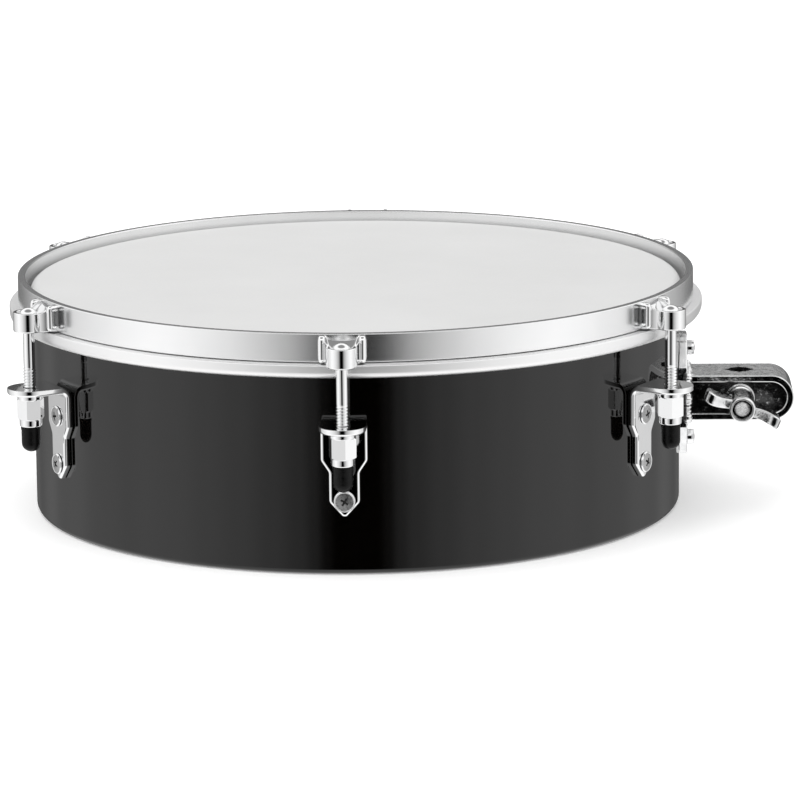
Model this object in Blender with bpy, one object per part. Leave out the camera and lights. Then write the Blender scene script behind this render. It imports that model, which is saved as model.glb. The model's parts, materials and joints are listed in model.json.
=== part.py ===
"""Hand bale drum: a shallow 13 inch steel shell with a white head, a chrome hoop and six tuning lugs.

Metres, +Z up. The shell stands on z = 0. The drum's axis is moved along X so that the whole
object, clamp included, is centred on the origin. Lug 1 faces -Y and the rod clamp faces +X.
"""

from math import cos, pi, radians, sin

import bmesh
import bpy
from mathutils import Matrix

# Clearances
SEAT_GAP = 0.0003
BORE_CLEARANCE = 0.0003

# Shell: a rolled sheet whose top edge and foot are curled inwards
SHELL_RADIUS = 0.165
SHELL_HEIGHT = 0.115
SHELL_WALL = 0.0015
TOP_CURL_INSIDE = 0.0021
FOOT_CURL_INSIDE = 0.0015
FOOT_LIP = 0.0016

# Drumhead and the flesh hoop that grips its collar
HEAD_THICKNESS = 0.0005
COLLAR_INSET = 0.0009
FLESH_HOOP_WIDTH = 0.0104
FLESH_HOOP_HEIGHT = 0.0070
FLESH_HOOP_DROP = 0.0101
FLESH_TOP_ROUND = 0.0010
FLESH_LOW_ROUND = 0.0036

# Counter hoop, which presses the flesh hoop down
HOOP_STEP = 0.0045
HOOP_WALL = 0.0040
HOOP_HEIGHT = 0.0140
HOOP_ROUND = 0.0010
FLANGE_SETBACK = 0.0006
FLANGE_HEIGHT = 0.0022

# Tension rods: their heads lie in the ears' recesses
LUG_COUNT = 6
ROD_RADIUS = 0.0030
ROD_STAND_OFF = 0.0033
ROD_TAIL = 0.0078
ROD_HEAD_RADIUS = 0.0046
ROD_HEAD_EDGE = 0.0009
ROD_HEAD_HEIGHT = 0.0026
END_CHAMFER = 0.0006

# Ears on the counter hoop
BOSS_WALL = 0.0019
BOSS_HEIGHT = 0.0098
RECESS_CLEARANCE = 0.0010
RECESS_DEPTH = 0.0030
EAR_SPREAD = 0.0095
EAR_WEB = 0.0026
EAR_FLOOR_STEP = 0.0002
BEAD_RADIUS = 0.0020

# Lug bracket: a bent strip with a shelf for the nut and a pointed tail down the shell
STRIP = 0.0032
SHELF_DROP = 0.0283
SHELF_HALF_WIDTH = 0.01135
SHELF_END_ANGLE = 81.0
TAIL_HALF_WIDTH = 0.0075
TIP_HALF_WIDTH = 0.0010
BEND_RADIUS = 0.0024
UPPER_SCREW_DROP = 0.0162
SCREW_PITCH = 0.0243
WAIST_BELOW_SCREW = 0.0043
WAIST_LENGTH = 0.0059
TIP_BELOW_SCREW = 0.0005
TIP_LENGTH = 0.0071

# Tension nut and its rubber cap
NUT_FLATS = 0.0120
NUT_HEX_HEIGHT = 0.0106
NUT_COLLAR_STEP = 0.0004
NUT_TOP_COLLAR = 0.0020
NUT_LOW_COLLAR = 0.0035
CAP_WALL = 0.00155
CAP_ROOM = 0.00275

# Lug screws, base screws and the nuts inside the shell
SCREW_RADIUS = 0.0024
SCREW_HEAD_RADIUS = 0.0050
SCREW_HEAD_EDGE = 0.0014
SCREW_HEAD_HEIGHT = 0.0026
SCREW_END = 0.0012
INNER_NUT_FLATS = 0.0080
INNER_NUT_HEIGHT = 0.0038
BASE_SCREW_HEAD_RADIUS = 0.0038
BASE_SCREW_HEAD_EDGE = 0.0024
BASE_SCREW_HEAD_HEIGHT = 0.0043

# Eye bolt, washer and wing nut of the rod clamp
EYE_BORE = 0.0058
EYE_WALL = 0.0038
EYE_HEIGHT = 0.0070
EYE_CHAMFER = 0.0008
EYE_TRAVEL = 0.0026
BOLT_RADIUS = 0.0039
BOLT_INSET = 0.0010
WASHER_RIM = 0.0006
WASHER_THICKNESS = 0.0020
HUB_WALL = 0.00255
HUB_LENGTH = 0.0282
HUB_CHAMFER = 0.0008
HUB_MOUTH_STEP = 0.0009
HUB_MOUTH_DEPTH = 0.0020
WING_SPAN = 0.0420
WING_THICKNESS = 0.0045
WING_RISE = 0.0008
WING_CORNER = 0.0022
WING_TIP_DEPTH = 0.0100
WING_ROOT_DROP = 0.0035
WING_ROOT_LENGTH = 0.0160
WING_TURN = 23.0

# Rod clamp: base plate, folded strap and web, welded into one piece
CLAMP_DROP = 0.0514
STRAP_HEIGHT = 0.0233
STRAP_THICKNESS = 0.0037
NOSE_LENGTH = 0.0273
WEB_RECESS = 0.0008
WEB_PLATE = 0.0022
BASE_THICKNESS = 0.0036
BASE_END_WIDTH = 0.0160
BASE_END_LENGTH = 0.0078
ROOT_FLARE = 0.0040
BASE_SCREW_MARGIN = 0.00385
ROD_HOLE_REACH = 0.0307
ROD_HOLE_LONG = 0.0080
ROD_HOLE_SHORT = 0.0067

# Facets
RING_SIDES = 60
BOSS_SIDES = 18
ROD_SIDES = 12
EYE_SIDES = 20
BEAD_SIDES = 6
NOSE_STEPS = 10
BEND_STEPS = 3
SHELF_STEPS = 4
DOME_STEPS = 2
CAP_STEPS = 3
SMOOTH_ANGLE = radians(32)

# Drumhead and hoops, from the sizes above
SHELL_INNER = SHELL_RADIUS - SHELL_WALL
TOP_CURL = TOP_CURL_INSIDE + SHELL_WALL
FOOT_CURL = FOOT_CURL_INSIDE + SHELL_WALL
HEAD_TOP = SHELL_HEIGHT + SEAT_GAP + HEAD_THICKNESS
FLESH_TOP = HEAD_TOP - FLESH_HOOP_DROP
FLESH_BOTTOM = FLESH_TOP - FLESH_HOOP_HEIGHT
FLESH_INNER = SHELL_RADIUS + SEAT_GAP + HEAD_THICKNESS + SEAT_GAP
FLESH_OUTER = FLESH_INNER + FLESH_HOOP_WIDTH
HOOP_BOTTOM = FLESH_TOP + SEAT_GAP
HOOP_TOP = HOOP_BOTTOM + HOOP_HEIGHT
HOOP_OUTER = FLESH_OUTER - HOOP_STEP
HOOP_INNER = HOOP_OUTER - HOOP_WALL

# Ears and lugs, from the sizes above
ROD_CIRCLE = FLESH_OUTER + ROD_STAND_OFF + ROD_RADIUS
RECESS_RADIUS = ROD_HEAD_RADIUS + RECESS_CLEARANCE
BOSS_RADIUS = RECESS_RADIUS + BOSS_WALL
BOSS_TOP = HOOP_BOTTOM + BOSS_HEIGHT
RECESS_FLOOR = BOSS_TOP - RECESS_DEPTH
SHELF_TOP = HOOP_BOTTOM - SHELF_DROP
SHELF_BOTTOM = SHELF_TOP - STRIP
NUT_TOP = SHELF_BOTTOM - SEAT_GAP
NUT_HEIGHT = NUT_TOP_COLLAR + NUT_HEX_HEIGHT + NUT_LOW_COLLAR
NUT_BOTTOM = NUT_TOP - NUT_HEIGHT
CAP_TOP = NUT_BOTTOM - SEAT_GAP
BRACKET_BACK = SHELL_RADIUS + SEAT_GAP
BRACKET_FACE = BRACKET_BACK + STRIP
UPPER_SCREW_HEIGHT = SHELF_TOP - UPPER_SCREW_DROP
LOWER_SCREW_HEIGHT = UPPER_SCREW_HEIGHT - SCREW_PITCH
LUG_SCREW_HEIGHTS = (UPPER_SCREW_HEIGHT, LOWER_SCREW_HEIGHT)
INNER_SEAT = SHELL_INNER * cos(pi / RING_SIDES) - SEAT_GAP

# Rod clamp, from the sizes above
BASE_FACE = SHELL_RADIUS + SEAT_GAP + BASE_THICKNESS
ROD_HOLE_CENTRE = SHELL_RADIUS + ROD_HOLE_REACH
NOSE_REACH = ROD_HOLE_CENTRE + NOSE_LENGTH
CLAMP_HEIGHT = HOOP_BOTTOM - CLAMP_DROP
CLAMP_TOP = CLAMP_HEIGHT + STRAP_HEIGHT / 2
CLAMP_BOTTOM = CLAMP_HEIGHT - STRAP_HEIGHT / 2
BASE_SCREW_SPREAD = STRAP_HEIGHT / 2 + ROOT_FLARE + BASE_SCREW_HEAD_RADIUS + BASE_SCREW_MARGIN
BASE_SCREW_HEIGHTS = (CLAMP_HEIGHT + BASE_SCREW_SPREAD, CLAMP_HEIGHT - BASE_SCREW_SPREAD)
EYE_OUTER = EYE_BORE + EYE_WALL
WEB_BACK = EYE_OUTER + EYE_TRAVEL + SEAT_GAP
WEB_FRONT = WEB_BACK + WEB_PLATE
STRAP_HALF_WIDTH = WEB_FRONT + WEB_RECESS
WASHER_BACK = WEB_FRONT + SEAT_GAP
HUB_BACK = WASHER_BACK + WASHER_THICKNESS + SEAT_GAP
HUB_BORE = BOLT_RADIUS + BORE_CLEARANCE
HUB_RADIUS = HUB_BORE + HUB_WALL
HUB_MOUTH_RADIUS = HUB_BORE + HUB_MOUTH_STEP
AXIS_SHIFT = (FLESH_OUTER - NOSE_REACH) / 2

LUG_TURNS = [2 * pi * lug / LUG_COUNT for lug in range(LUG_COUNT)]
CLAMP_TURN = pi / 2
OUTWARDS = (pi / 2, 0, 0)

# Colour, roughness and metallic value of each finish
LOOKS = {
    "shell_black": ((0.012, 0.011, 0.011), 0.06, 0.0),
    "head_white": ((0.86, 0.86, 0.85), 0.42, 0.0),
    "chrome": ((0.82, 0.83, 0.84), 0.05, 1.0),
    "hoop_bright": ((0.88, 0.88, 0.88), 0.16, 1.0),
    "cap_rubber": ((0.015, 0.015, 0.016), 0.35, 0.0),
    "zinc_steel": ((0.62, 0.62, 0.60), 0.32, 1.0),
}


def material(look):
    """The finish's material, made the first time that it is asked for."""
    made = bpy.data.materials.get(look)
    if made:
        return made
    colour, roughness, metallic = LOOKS[look]
    made = bpy.data.materials.new(look)
    made.use_nodes = True
    shader = made.node_tree.nodes["Principled BSDF"]
    shader.inputs["Base Color"].default_value = (*colour, 1.0)
    shader.inputs["Roughness"].default_value = roughness
    shader.inputs["Metallic"].default_value = metallic
    made.diffuse_color = (*colour, 1.0)
    return made


def mesh_from(bm, name):
    """Closes the bmesh into a mesh whose faces point out and whose round faces are smooth."""
    bmesh.ops.recalc_face_normals(bm, faces=bm.faces)
    mesh = bpy.data.meshes.new(name)
    bm.to_mesh(mesh)
    bm.free()
    mesh.shade_smooth()
    mesh.set_sharp_from_angle(angle=SMOOTH_ANGLE)
    return mesh


def place(name, mesh, look=None, parent=None, location=(0, 0, 0), rotation=(0, 0, 0)):
    """Adds an object for the mesh, with its material, at its place under its parent."""
    obj = bpy.data.objects.new(name, mesh)
    bpy.context.scene.collection.objects.link(obj)
    if look and not mesh.materials:
        mesh.materials.append(material(look))
    obj.parent = parent
    obj.location = location
    obj.rotation_euler = rotation
    return obj


def empty(name, location=(0, 0, 0), turn=0.0, parent=None):
    obj = bpy.data.objects.new(name, None)
    bpy.context.scene.collection.objects.link(obj)
    obj.parent = parent
    obj.location = location
    obj.rotation_euler = (0, 0, turn)
    return obj


def turned(profile, sides):
    """A profile of (radius, height) points turned round Z.

    It is a closed loop, or it starts and ends on the axis.
    """
    bm = bmesh.new()
    points = [bm.verts.new((radius, 0, height)) for radius, height in profile]
    edges = [bm.edges.new(pair) for pair in zip(points, points[1:])]
    if profile[0][0] > 0:
        edges.append(bm.edges.new((points[-1], points[0])))
    geometry = points + edges
    bmesh.ops.spin(bm, geom=geometry, axis=(0, 0, 1), angle=2 * pi, steps=sides, use_merge=True)
    bmesh.ops.remove_doubles(bm, verts=bm.verts, dist=1e-7)
    return bm


def prism(outline, low, high):
    """An outline of (x, y) points extruded along Z from low to high."""
    bm = bmesh.new()
    face = bm.faces.new([bm.verts.new((x, y, low)) for x, y in outline])
    grown = bmesh.ops.extrude_face_region(bm, geom=[face])
    top = [item for item in grown["geom"] if isinstance(item, bmesh.types.BMVert)]
    bmesh.ops.translate(bm, verts=top, vec=(0, 0, high - low))
    return bm


def moved(bm, matrix):
    bmesh.ops.transform(bm, matrix=matrix, verts=bm.verts)
    return bm


def shifted(bm, x=0.0, y=0.0, z=0.0):
    return moved(bm, Matrix.Translation((x, y, z)))


def round_axis(bm, turn):
    return moved(bm, Matrix.Rotation(turn, 4, "Z"))


def on_edge(bm):
    """Stands a flat outline up: its y becomes z, and it is extruded towards -Y."""
    return moved(bm, Matrix.Rotation(pi / 2, 4, "X"))


def arc(centre, radius, start, end, steps):
    """Points on an arc, with its angles in degrees."""
    angles = [radians(start + (end - start) * step / steps) for step in range(steps + 1)]
    return [(centre[0] + radius * cos(angle), centre[1] + radius * sin(angle)) for angle in angles]


def dome(radius, low, high, steps):
    """A quarter ellipse from the rim at the low height to the axis at the high one."""
    angles = [pi / 2 * step / steps for step in range(steps)]
    rim = [(radius * cos(angle), low + (high - low) * sin(angle)) for angle in angles]
    return rim + [(0.0, high)]


def ring_of_points(radius, sides):
    """A regular outline with one corner on +X."""
    return [(radius * cos(2 * pi * i / sides), radius * sin(2 * pi * i / sides)) for i in range(sides)]


def cylinder(radius, low, high, sides):
    return prism(ring_of_points(radius, sides), low, high)


def hexagonal(flats, low, high):
    """A prism of six sides, from its width across flats."""
    return cylinder(flats / 2 / cos(pi / 6), low, high, 6)


def together(shapes):
    """One bmesh that holds several shapes as separate bodies."""
    whole = bmesh.new()
    for shape in shapes:
        mesh = bpy.data.meshes.new("shape")
        shape.to_mesh(mesh)
        shape.free()
        whole.from_mesh(mesh)
        bpy.data.meshes.remove(mesh)
    return whole


def shape_with(obj, bm, operation):
    """Adds the shape to the object, or cuts it away, with a Boolean that stays on the object."""
    tool = place(obj.name + "_" + operation.lower(), mesh_from(bm, "tool"), parent=obj.parent)
    tool.location = obj.location
    tool.rotation_euler = obj.rotation_euler
    tool.hide_render = True
    tool.display_type = "WIRE"
    boolean = obj.modifiers.new(operation.lower(), "BOOLEAN")
    boolean.operation = operation
    boolean.solver = "EXACT"
    boolean.object = tool


def settled(name, bm, added=(), cut=()):
    """A mesh with its Booleans worked out, so that several objects can share it."""
    obj = place(name, mesh_from(bm, name))
    for shape in added:
        shape_with(obj, shape, "UNION")
    for shape in cut:
        shape_with(obj, shape, "DIFFERENCE")
    bpy.context.view_layer.update()
    graph = bpy.context.evaluated_depsgraph_get()
    mesh = bpy.data.meshes.new_from_object(obj.evaluated_get(graph))
    mesh.shade_smooth()
    mesh.set_sharp_from_angle(angle=SMOOTH_ANGLE)
    for used in [modifier.object for modifier in obj.modifiers] + [obj]:
        bpy.data.objects.remove(used)
    mesh.name = name
    return mesh


def shell_profile():
    """The sheet's section: up the outside, over the curled top, down the inside and round the foot."""
    foot = (SHELL_RADIUS - FOOT_CURL, FOOT_CURL)
    top = (SHELL_RADIUS - TOP_CURL, SHELL_HEIGHT - TOP_CURL)
    lip = foot[0] - FOOT_LIP
    return (
        [(lip, 0.0)]
        + arc(foot, FOOT_CURL, -90, 0, 2)
        + arc(top, TOP_CURL, 0, 90, 2)
        + arc(top, TOP_CURL_INSIDE, 90, 0, 1)
        + arc(foot, FOOT_CURL_INSIDE, 0, -90, 1)
        + [(lip, SHELL_WALL)]
    )


def head_profile():
    """The film's section: flat, then bent down over the shell's top into a collar."""
    top = (SHELL_RADIUS - TOP_CURL, SHELL_HEIGHT - TOP_CURL)
    inner = TOP_CURL + SEAT_GAP
    outer = inner + HEAD_THICKNESS
    end = FLESH_BOTTOM + COLLAR_INSET
    return (
        [(0.0, HEAD_TOP)]
        + arc(top, outer, 90, 0, 2)
        + [(top[0] + outer, end), (top[0] + inner, end)]
        + arc(top, inner, 0, 90, 2)
        + [(0.0, HEAD_TOP - HEAD_THICKNESS)]
    )


def flesh_hoop_profile():
    low = (FLESH_OUTER - FLESH_LOW_ROUND, FLESH_BOTTOM + FLESH_LOW_ROUND)
    top = (FLESH_OUTER - FLESH_TOP_ROUND, FLESH_TOP - FLESH_TOP_ROUND)
    return (
        [(FLESH_INNER, FLESH_BOTTOM)]
        + arc(low, FLESH_LOW_ROUND, -90, 0, 2)
        + arc(top, FLESH_TOP_ROUND, 0, 90, 1)
        + [(FLESH_INNER, FLESH_TOP)]
    )


def hoop_profile():
    """The band's section, with a flange at its foot that reaches in over the flesh hoop."""
    outer = (HOOP_OUTER - HOOP_ROUND, HOOP_TOP - HOOP_ROUND)
    inner = (HOOP_INNER + HOOP_ROUND, HOOP_TOP - HOOP_ROUND)
    flange = FLESH_INNER + FLANGE_SETBACK
    flange_top = HOOP_BOTTOM + FLANGE_HEIGHT
    return (
        [(flange, HOOP_BOTTOM), (HOOP_OUTER, HOOP_BOTTOM)]
        + arc(outer, HOOP_ROUND, 0, 90, 1)
        + arc(inner, HOOP_ROUND, 90, 180, 1)
        + [(HOOP_INNER, flange_top), (flange, flange_top)]
    )


def ear_web(side):
    """One sloping web of an ear, from the hoop's full height down to the boss's top."""
    root = HOOP_OUTER - HOOP_WALL / 2
    half = EAR_WEB / 2
    boss_side = BOSS_RADIUS - half
    outline = [
        (side * (EAR_SPREAD - half), -root),
        (side * (EAR_SPREAD + half), -root),
        (side * (boss_side + half), -ROD_CIRCLE),
        (side * (boss_side - half), -ROD_CIRCLE),
    ]
    web = prism(outline, HOOP_BOTTOM, BOSS_TOP)
    for vert in web.verts:
        if vert.co.z > RECESS_FLOOR and vert.co.y > -HOOP_OUTER:
            vert.co.z = HOOP_TOP - SEAT_GAP
    return web


def ear_mesh():
    """One ear, facing -Y from the drum's axis: a boss for the rod, held off the hoop by two webs."""
    root = HOOP_OUTER - HOOP_WALL / 2
    boss_side = BOSS_RADIUS - EAR_WEB / 2
    added = []
    for side in (-1, 1):
        bead = cylinder(BEAD_RADIUS, HOOP_BOTTOM, HOOP_TOP - SEAT_GAP, BEAD_SIDES)
        added.append(ear_web(side))
        added.append(shifted(bead, side * EAR_SPREAD, -HOOP_OUTER - EAR_WEB / 2))
    floor = [(-EAR_SPREAD, -root), (EAR_SPREAD, -root), (boss_side, -ROD_CIRCLE), (-boss_side, -ROD_CIRCLE)]
    added.append(prism(floor, HOOP_BOTTOM, RECESS_FLOOR - EAR_FLOOR_STEP))
    boss = cylinder(BOSS_RADIUS, HOOP_BOTTOM, BOSS_TOP, BOSS_SIDES)
    recess = cylinder(RECESS_RADIUS, RECESS_FLOOR, HOOP_TOP, BOSS_SIDES)
    bore = cylinder(ROD_RADIUS + BORE_CLEARANCE, HOOP_BOTTOM - STRIP, HOOP_TOP, ROD_SIDES)
    cut = [shifted(shape, y=-ROD_CIRCLE) for shape in (recess, bore)]
    return settled("ear", shifted(boss, y=-ROD_CIRCLE), added, cut)


def rod_mesh():
    """Its origin is on the rod's axis, at the floor of the boss's recess."""
    end = NUT_BOTTOM - ROD_TAIL - RECESS_FLOOR
    edge = SEAT_GAP + ROD_HEAD_EDGE
    profile = [(0.0, end), (ROD_RADIUS - END_CHAMFER, end), (ROD_RADIUS, end + END_CHAMFER)]
    profile += [(ROD_RADIUS, SEAT_GAP), (ROD_HEAD_RADIUS, SEAT_GAP)]
    profile += dome(ROD_HEAD_RADIUS, edge, SEAT_GAP + ROD_HEAD_HEIGHT, DOME_STEPS)
    return mesh_from(turned(profile, ROD_SIDES), "tension_rod")


def tension_nut_mesh():
    """Its origin is on the rod's axis at its top face, under the shelf."""
    hex_top = -NUT_TOP_COLLAR
    collar = cylinder(NUT_FLATS / 2 + NUT_COLLAR_STEP, hex_top, 0, BOSS_SIDES)
    core = cylinder(NUT_FLATS / 2 - NUT_COLLAR_STEP, -NUT_HEIGHT, hex_top / 2, BOSS_SIDES)
    hexagon = hexagonal(NUT_FLATS, hex_top - NUT_HEX_HEIGHT, hex_top + NUT_COLLAR_STEP)
    bore = cylinder(ROD_RADIUS + BORE_CLEARANCE, -2 * NUT_HEIGHT, NUT_HEIGHT, ROD_SIDES)
    return settled("tension_nut", collar, [core, hexagon], [bore])


def cap_mesh():
    """Its origin is on the rod's axis at its open top, and it is deep enough for the rod's end."""
    inner = ROD_RADIUS + BORE_CLEARANCE
    outer = inner + CAP_WALL
    floor = SEAT_GAP - ROD_TAIL - CAP_ROOM
    length = CAP_WALL - floor
    profile = dome(outer, outer - length, -length, CAP_STEPS)[::-1]
    profile += [(outer, 0.0), (inner, 0.0), (inner, floor), (0.0, floor)]
    return mesh_from(turned(profile, ROD_SIDES), "rubber_cap")


def bracket_stations():
    """The bent strip's stations from the tip up and out: (back y, back z, front y, front z, half width)."""
    waist = UPPER_SCREW_HEIGHT - WAIST_BELOW_SCREW
    point = LOWER_SCREW_HEIGHT - TIP_BELOW_SCREW
    tail = [
        (point - TIP_LENGTH, TIP_HALF_WIDTH),
        (point, TAIL_HALF_WIDTH),
        (waist - WAIST_LENGTH, TAIL_HALF_WIDTH),
        (waist, SHELF_HALF_WIDTH),
    ]
    stations = [(BRACKET_BACK, height, BRACKET_FACE, height, half) for height, half in tail]
    bend = (BRACKET_FACE + BEND_RADIUS, SHELF_BOTTOM - BEND_RADIUS)
    backs = arc(bend, BEND_RADIUS + STRIP, 180, 90, BEND_STEPS)
    fronts = arc(bend, BEND_RADIUS, 180, 90, BEND_STEPS)
    stations += [(*back, *front, SHELF_HALF_WIDTH) for back, front in zip(backs, fronts)]
    for across, out in arc((0.0, ROD_CIRCLE), SHELF_HALF_WIDTH, 0, SHELF_END_ANGLE, SHELF_STEPS):
        stations.append((out, SHELF_TOP, out, SHELF_BOTTOM, across))
    return stations


def bracket_mesh():
    """It faces -Y from the drum's axis: a plate down the shell and a shelf, round about the rod."""
    bm = bmesh.new()
    rings = []
    for back_reach, back_height, front_reach, front_height, half in bracket_stations():
        corners = (
            (-half, -back_reach, back_height),
            (half, -back_reach, back_height),
            (half, -front_reach, front_height),
            (-half, -front_reach, front_height),
        )
        rings.append([bm.verts.new(corner) for corner in corners])
    for ring, following in zip(rings, rings[1:]):
        for side in range(4):
            after = (side + 1) % 4
            bm.faces.new((ring[side], ring[after], following[after], following[side]))
    bm.faces.new(rings[0])
    bm.faces.new(rings[-1])
    rod_hole = cylinder(ROD_RADIUS + BORE_CLEARANCE, SHELF_BOTTOM - STRIP, SHELF_TOP + STRIP, ROD_SIDES)
    holes = [shifted(rod_hole, y=-ROD_CIRCLE)] + screw_holes(LUG_SCREW_HEIGHTS, BRACKET_FACE)
    return settled("lug_bracket", bm, cut=[together(holes)])


def screw_holes(heights, face):
    """Cutters for the screws' holes, facing -Y from the drum's axis, from inside the shell past the face."""
    inside = SHELL_INNER - SHELL_WALL - INNER_NUT_HEIGHT
    cutters = [cylinder(SCREW_RADIUS + BORE_CLEARANCE, inside, face + STRIP, ROD_SIDES) for _ in heights]
    return [shifted(on_edge(cutter), z=height) for cutter, height in zip(cutters, heights)]


def screw_mesh(name, head_radius, head_edge, head_height, face):
    """Its origin is on its axis at the face that it holds down, and its head stands out along +Z."""
    end = INNER_SEAT - INNER_NUT_HEIGHT - SCREW_END - face
    profile = [(0.0, end), (SCREW_RADIUS, end), (SCREW_RADIUS, SEAT_GAP), (head_radius, SEAT_GAP)]
    profile += dome(head_radius, SEAT_GAP + head_edge, SEAT_GAP + head_height, DOME_STEPS)
    return mesh_from(turned(profile, ROD_SIDES), name)


def inner_nut_mesh():
    """Its origin is on its axis at the shell's inner wall, and it reaches into the drum along -Z."""
    body = hexagonal(INNER_NUT_FLATS, -INNER_NUT_HEIGHT, 0)
    bore = cylinder(SCREW_RADIUS + BORE_CLEARANCE, -2 * INNER_NUT_HEIGHT, INNER_NUT_HEIGHT, ROD_SIDES)
    return settled("inner_nut", body, cut=[bore])


def strap_outline(inset):
    """The strap's outer line, set in by a distance: out along the top, round the nose and back."""
    radius = STRAP_HEIGHT / 2 - inset
    nose = (NOSE_REACH - STRAP_HEIGHT / 2, CLAMP_HEIGHT)
    root = BASE_FACE - BASE_THICKNESS / 2
    return (
        [(root, CLAMP_HEIGHT + radius)]
        + arc(nose, radius, 90, -90, NOSE_STEPS)
        + [(root, CLAMP_HEIGHT - radius)]
    )


def strap():
    outline = strap_outline(0.0) + strap_outline(STRAP_THICKNESS)[::-1]
    return on_edge(prism(outline, -STRAP_HALF_WIDTH, STRAP_HALF_WIDTH))


def web():
    return on_edge(prism(strap_outline(STRAP_THICKNESS / 2), WEB_BACK, WEB_FRONT))


def base_plate():
    """A plate with narrower ends. Its back is hollowed later, to sit on the shell."""
    half = BASE_SCREW_SPREAD + BASE_END_LENGTH
    end = BASE_END_WIDTH / 2
    corner = end / 2
    shoulder = STRAP_HEIGHT / 2 + ROOT_FLARE
    quarter = [(STRAP_HALF_WIDTH, shoulder), (end, half - corner), (corner, half)]
    upper = quarter + [(-across, up) for across, up in quarter[::-1]]
    outline = upper + [(across, -up) for across, up in upper[::-1]]
    to_side = Matrix(((0, 0, 1, 0), (1, 0, 0, 0), (0, 1, 0, CLAMP_HEIGHT), (0, 0, 0, 1)))
    return moved(prism(outline, SHELL_INNER, BASE_FACE), to_side)


def root_flare(side):
    """A fillet between one leg of the strap and the base plate. side is 1 at the top and -1 below."""
    depth = STRAP_THICKNESS / 2
    outline = [
        (BASE_FACE - depth, -depth),
        (BASE_FACE + ROOT_FLARE, -depth),
        (BASE_FACE + ROOT_FLARE, 0),
        (BASE_FACE, ROOT_FLARE),
        (BASE_FACE - depth, ROOT_FLARE),
    ]
    outline = [(reach, CLAMP_HEIGHT + side * (STRAP_HEIGHT / 2 + up)) for reach, up in outline]
    half = STRAP_HALF_WIDTH - ROOT_FLARE / 2
    return on_edge(prism(outline, -half, half))


def rod_hole():
    """The diamond through both legs of the strap."""
    long_way = [(ROD_HOLE_CENTRE + side * ROD_HOLE_LONG, 0.0) for side in (1, -1)]
    short_way = [(ROD_HOLE_CENTRE, side * ROD_HOLE_SHORT) for side in (1, -1)]
    outline = [long_way[0], short_way[0], long_way[1], short_way[1]]
    return prism(outline, CLAMP_BOTTOM - STRAP_THICKNESS, CLAMP_TOP + STRAP_THICKNESS)


def bolt_hole():
    cutter = cylinder(HUB_BORE, WEB_BACK - WEB_PLATE, WEB_FRONT + WEB_PLATE, EYE_SIDES)
    return shifted(on_edge(cutter), ROD_HOLE_CENTRE, z=CLAMP_HEIGHT)


def eye_bolt_mesh():
    """Its origin is the eye's centre. The eye's bore is upright and the shank points to -Y."""
    half = EYE_HEIGHT / 2
    side = half - EYE_CHAMFER
    profile = [(EYE_BORE, -side), (EYE_BORE + EYE_CHAMFER, -half), (EYE_OUTER - EYE_CHAMFER, -half)]
    profile += [(EYE_OUTER, -side), (EYE_OUTER, side), (EYE_OUTER - EYE_CHAMFER, half)]
    profile += [(EYE_BORE + EYE_CHAMFER, half), (EYE_BORE, side)]
    end = HUB_BACK + HUB_LENGTH - BOLT_INSET
    shank = on_edge(cylinder(BOLT_RADIUS, EYE_BORE + EYE_WALL / 2, end, EYE_SIDES))
    return settled("eye_bolt", turned(profile, EYE_SIDES), [shank])


def washer_mesh():
    rim = HUB_RADIUS + WASHER_RIM
    profile = [(HUB_BORE, 0.0), (rim, 0.0), (rim, WASHER_THICKNESS), (HUB_BORE, WASHER_THICKNESS)]
    return mesh_from(turned(profile, EYE_SIDES), "washer")


def wing(side):
    """One wing as a plate along the hub. side is 1 or -1."""
    root = (HUB_RADIUS + HUB_MOUTH_RADIUS) / 2
    tip = WING_SPAN / 2
    front = HUB_LENGTH + WING_RISE
    back = front - WING_TIP_DEPTH
    outline = [
        (root, HUB_LENGTH - WING_ROOT_DROP),
        (tip - WING_CORNER, front),
        (tip, front - WING_CORNER),
        (tip, back + WING_CORNER),
        (tip - WING_CORNER, back),
        (root, HUB_LENGTH - WING_ROOT_DROP - WING_ROOT_LENGTH),
    ]
    outline = [(side * across, along) for across, along in outline]
    return on_edge(prism(outline, -WING_THICKNESS / 2, WING_THICKNESS / 2))


def wing_nut_mesh():
    """Its origin is on the bolt's axis at its back face, and its front is along +Z."""
    mouth = HUB_LENGTH - HUB_MOUTH_DEPTH
    profile = [(HUB_BORE, 0.0), (HUB_RADIUS, 0.0), (HUB_RADIUS, HUB_LENGTH - HUB_CHAMFER)]
    profile += [(HUB_RADIUS - HUB_CHAMFER, HUB_LENGTH), (HUB_MOUTH_RADIUS, HUB_LENGTH)]
    profile += [(HUB_MOUTH_RADIUS, mouth), (HUB_BORE, mouth)]
    mesh = settled("wing_nut", turned(profile, EYE_SIDES), [wing(1), wing(-1)])
    mesh.transform(Matrix.Rotation(-radians(WING_TURN), 4, "Z"))
    return mesh


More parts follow.
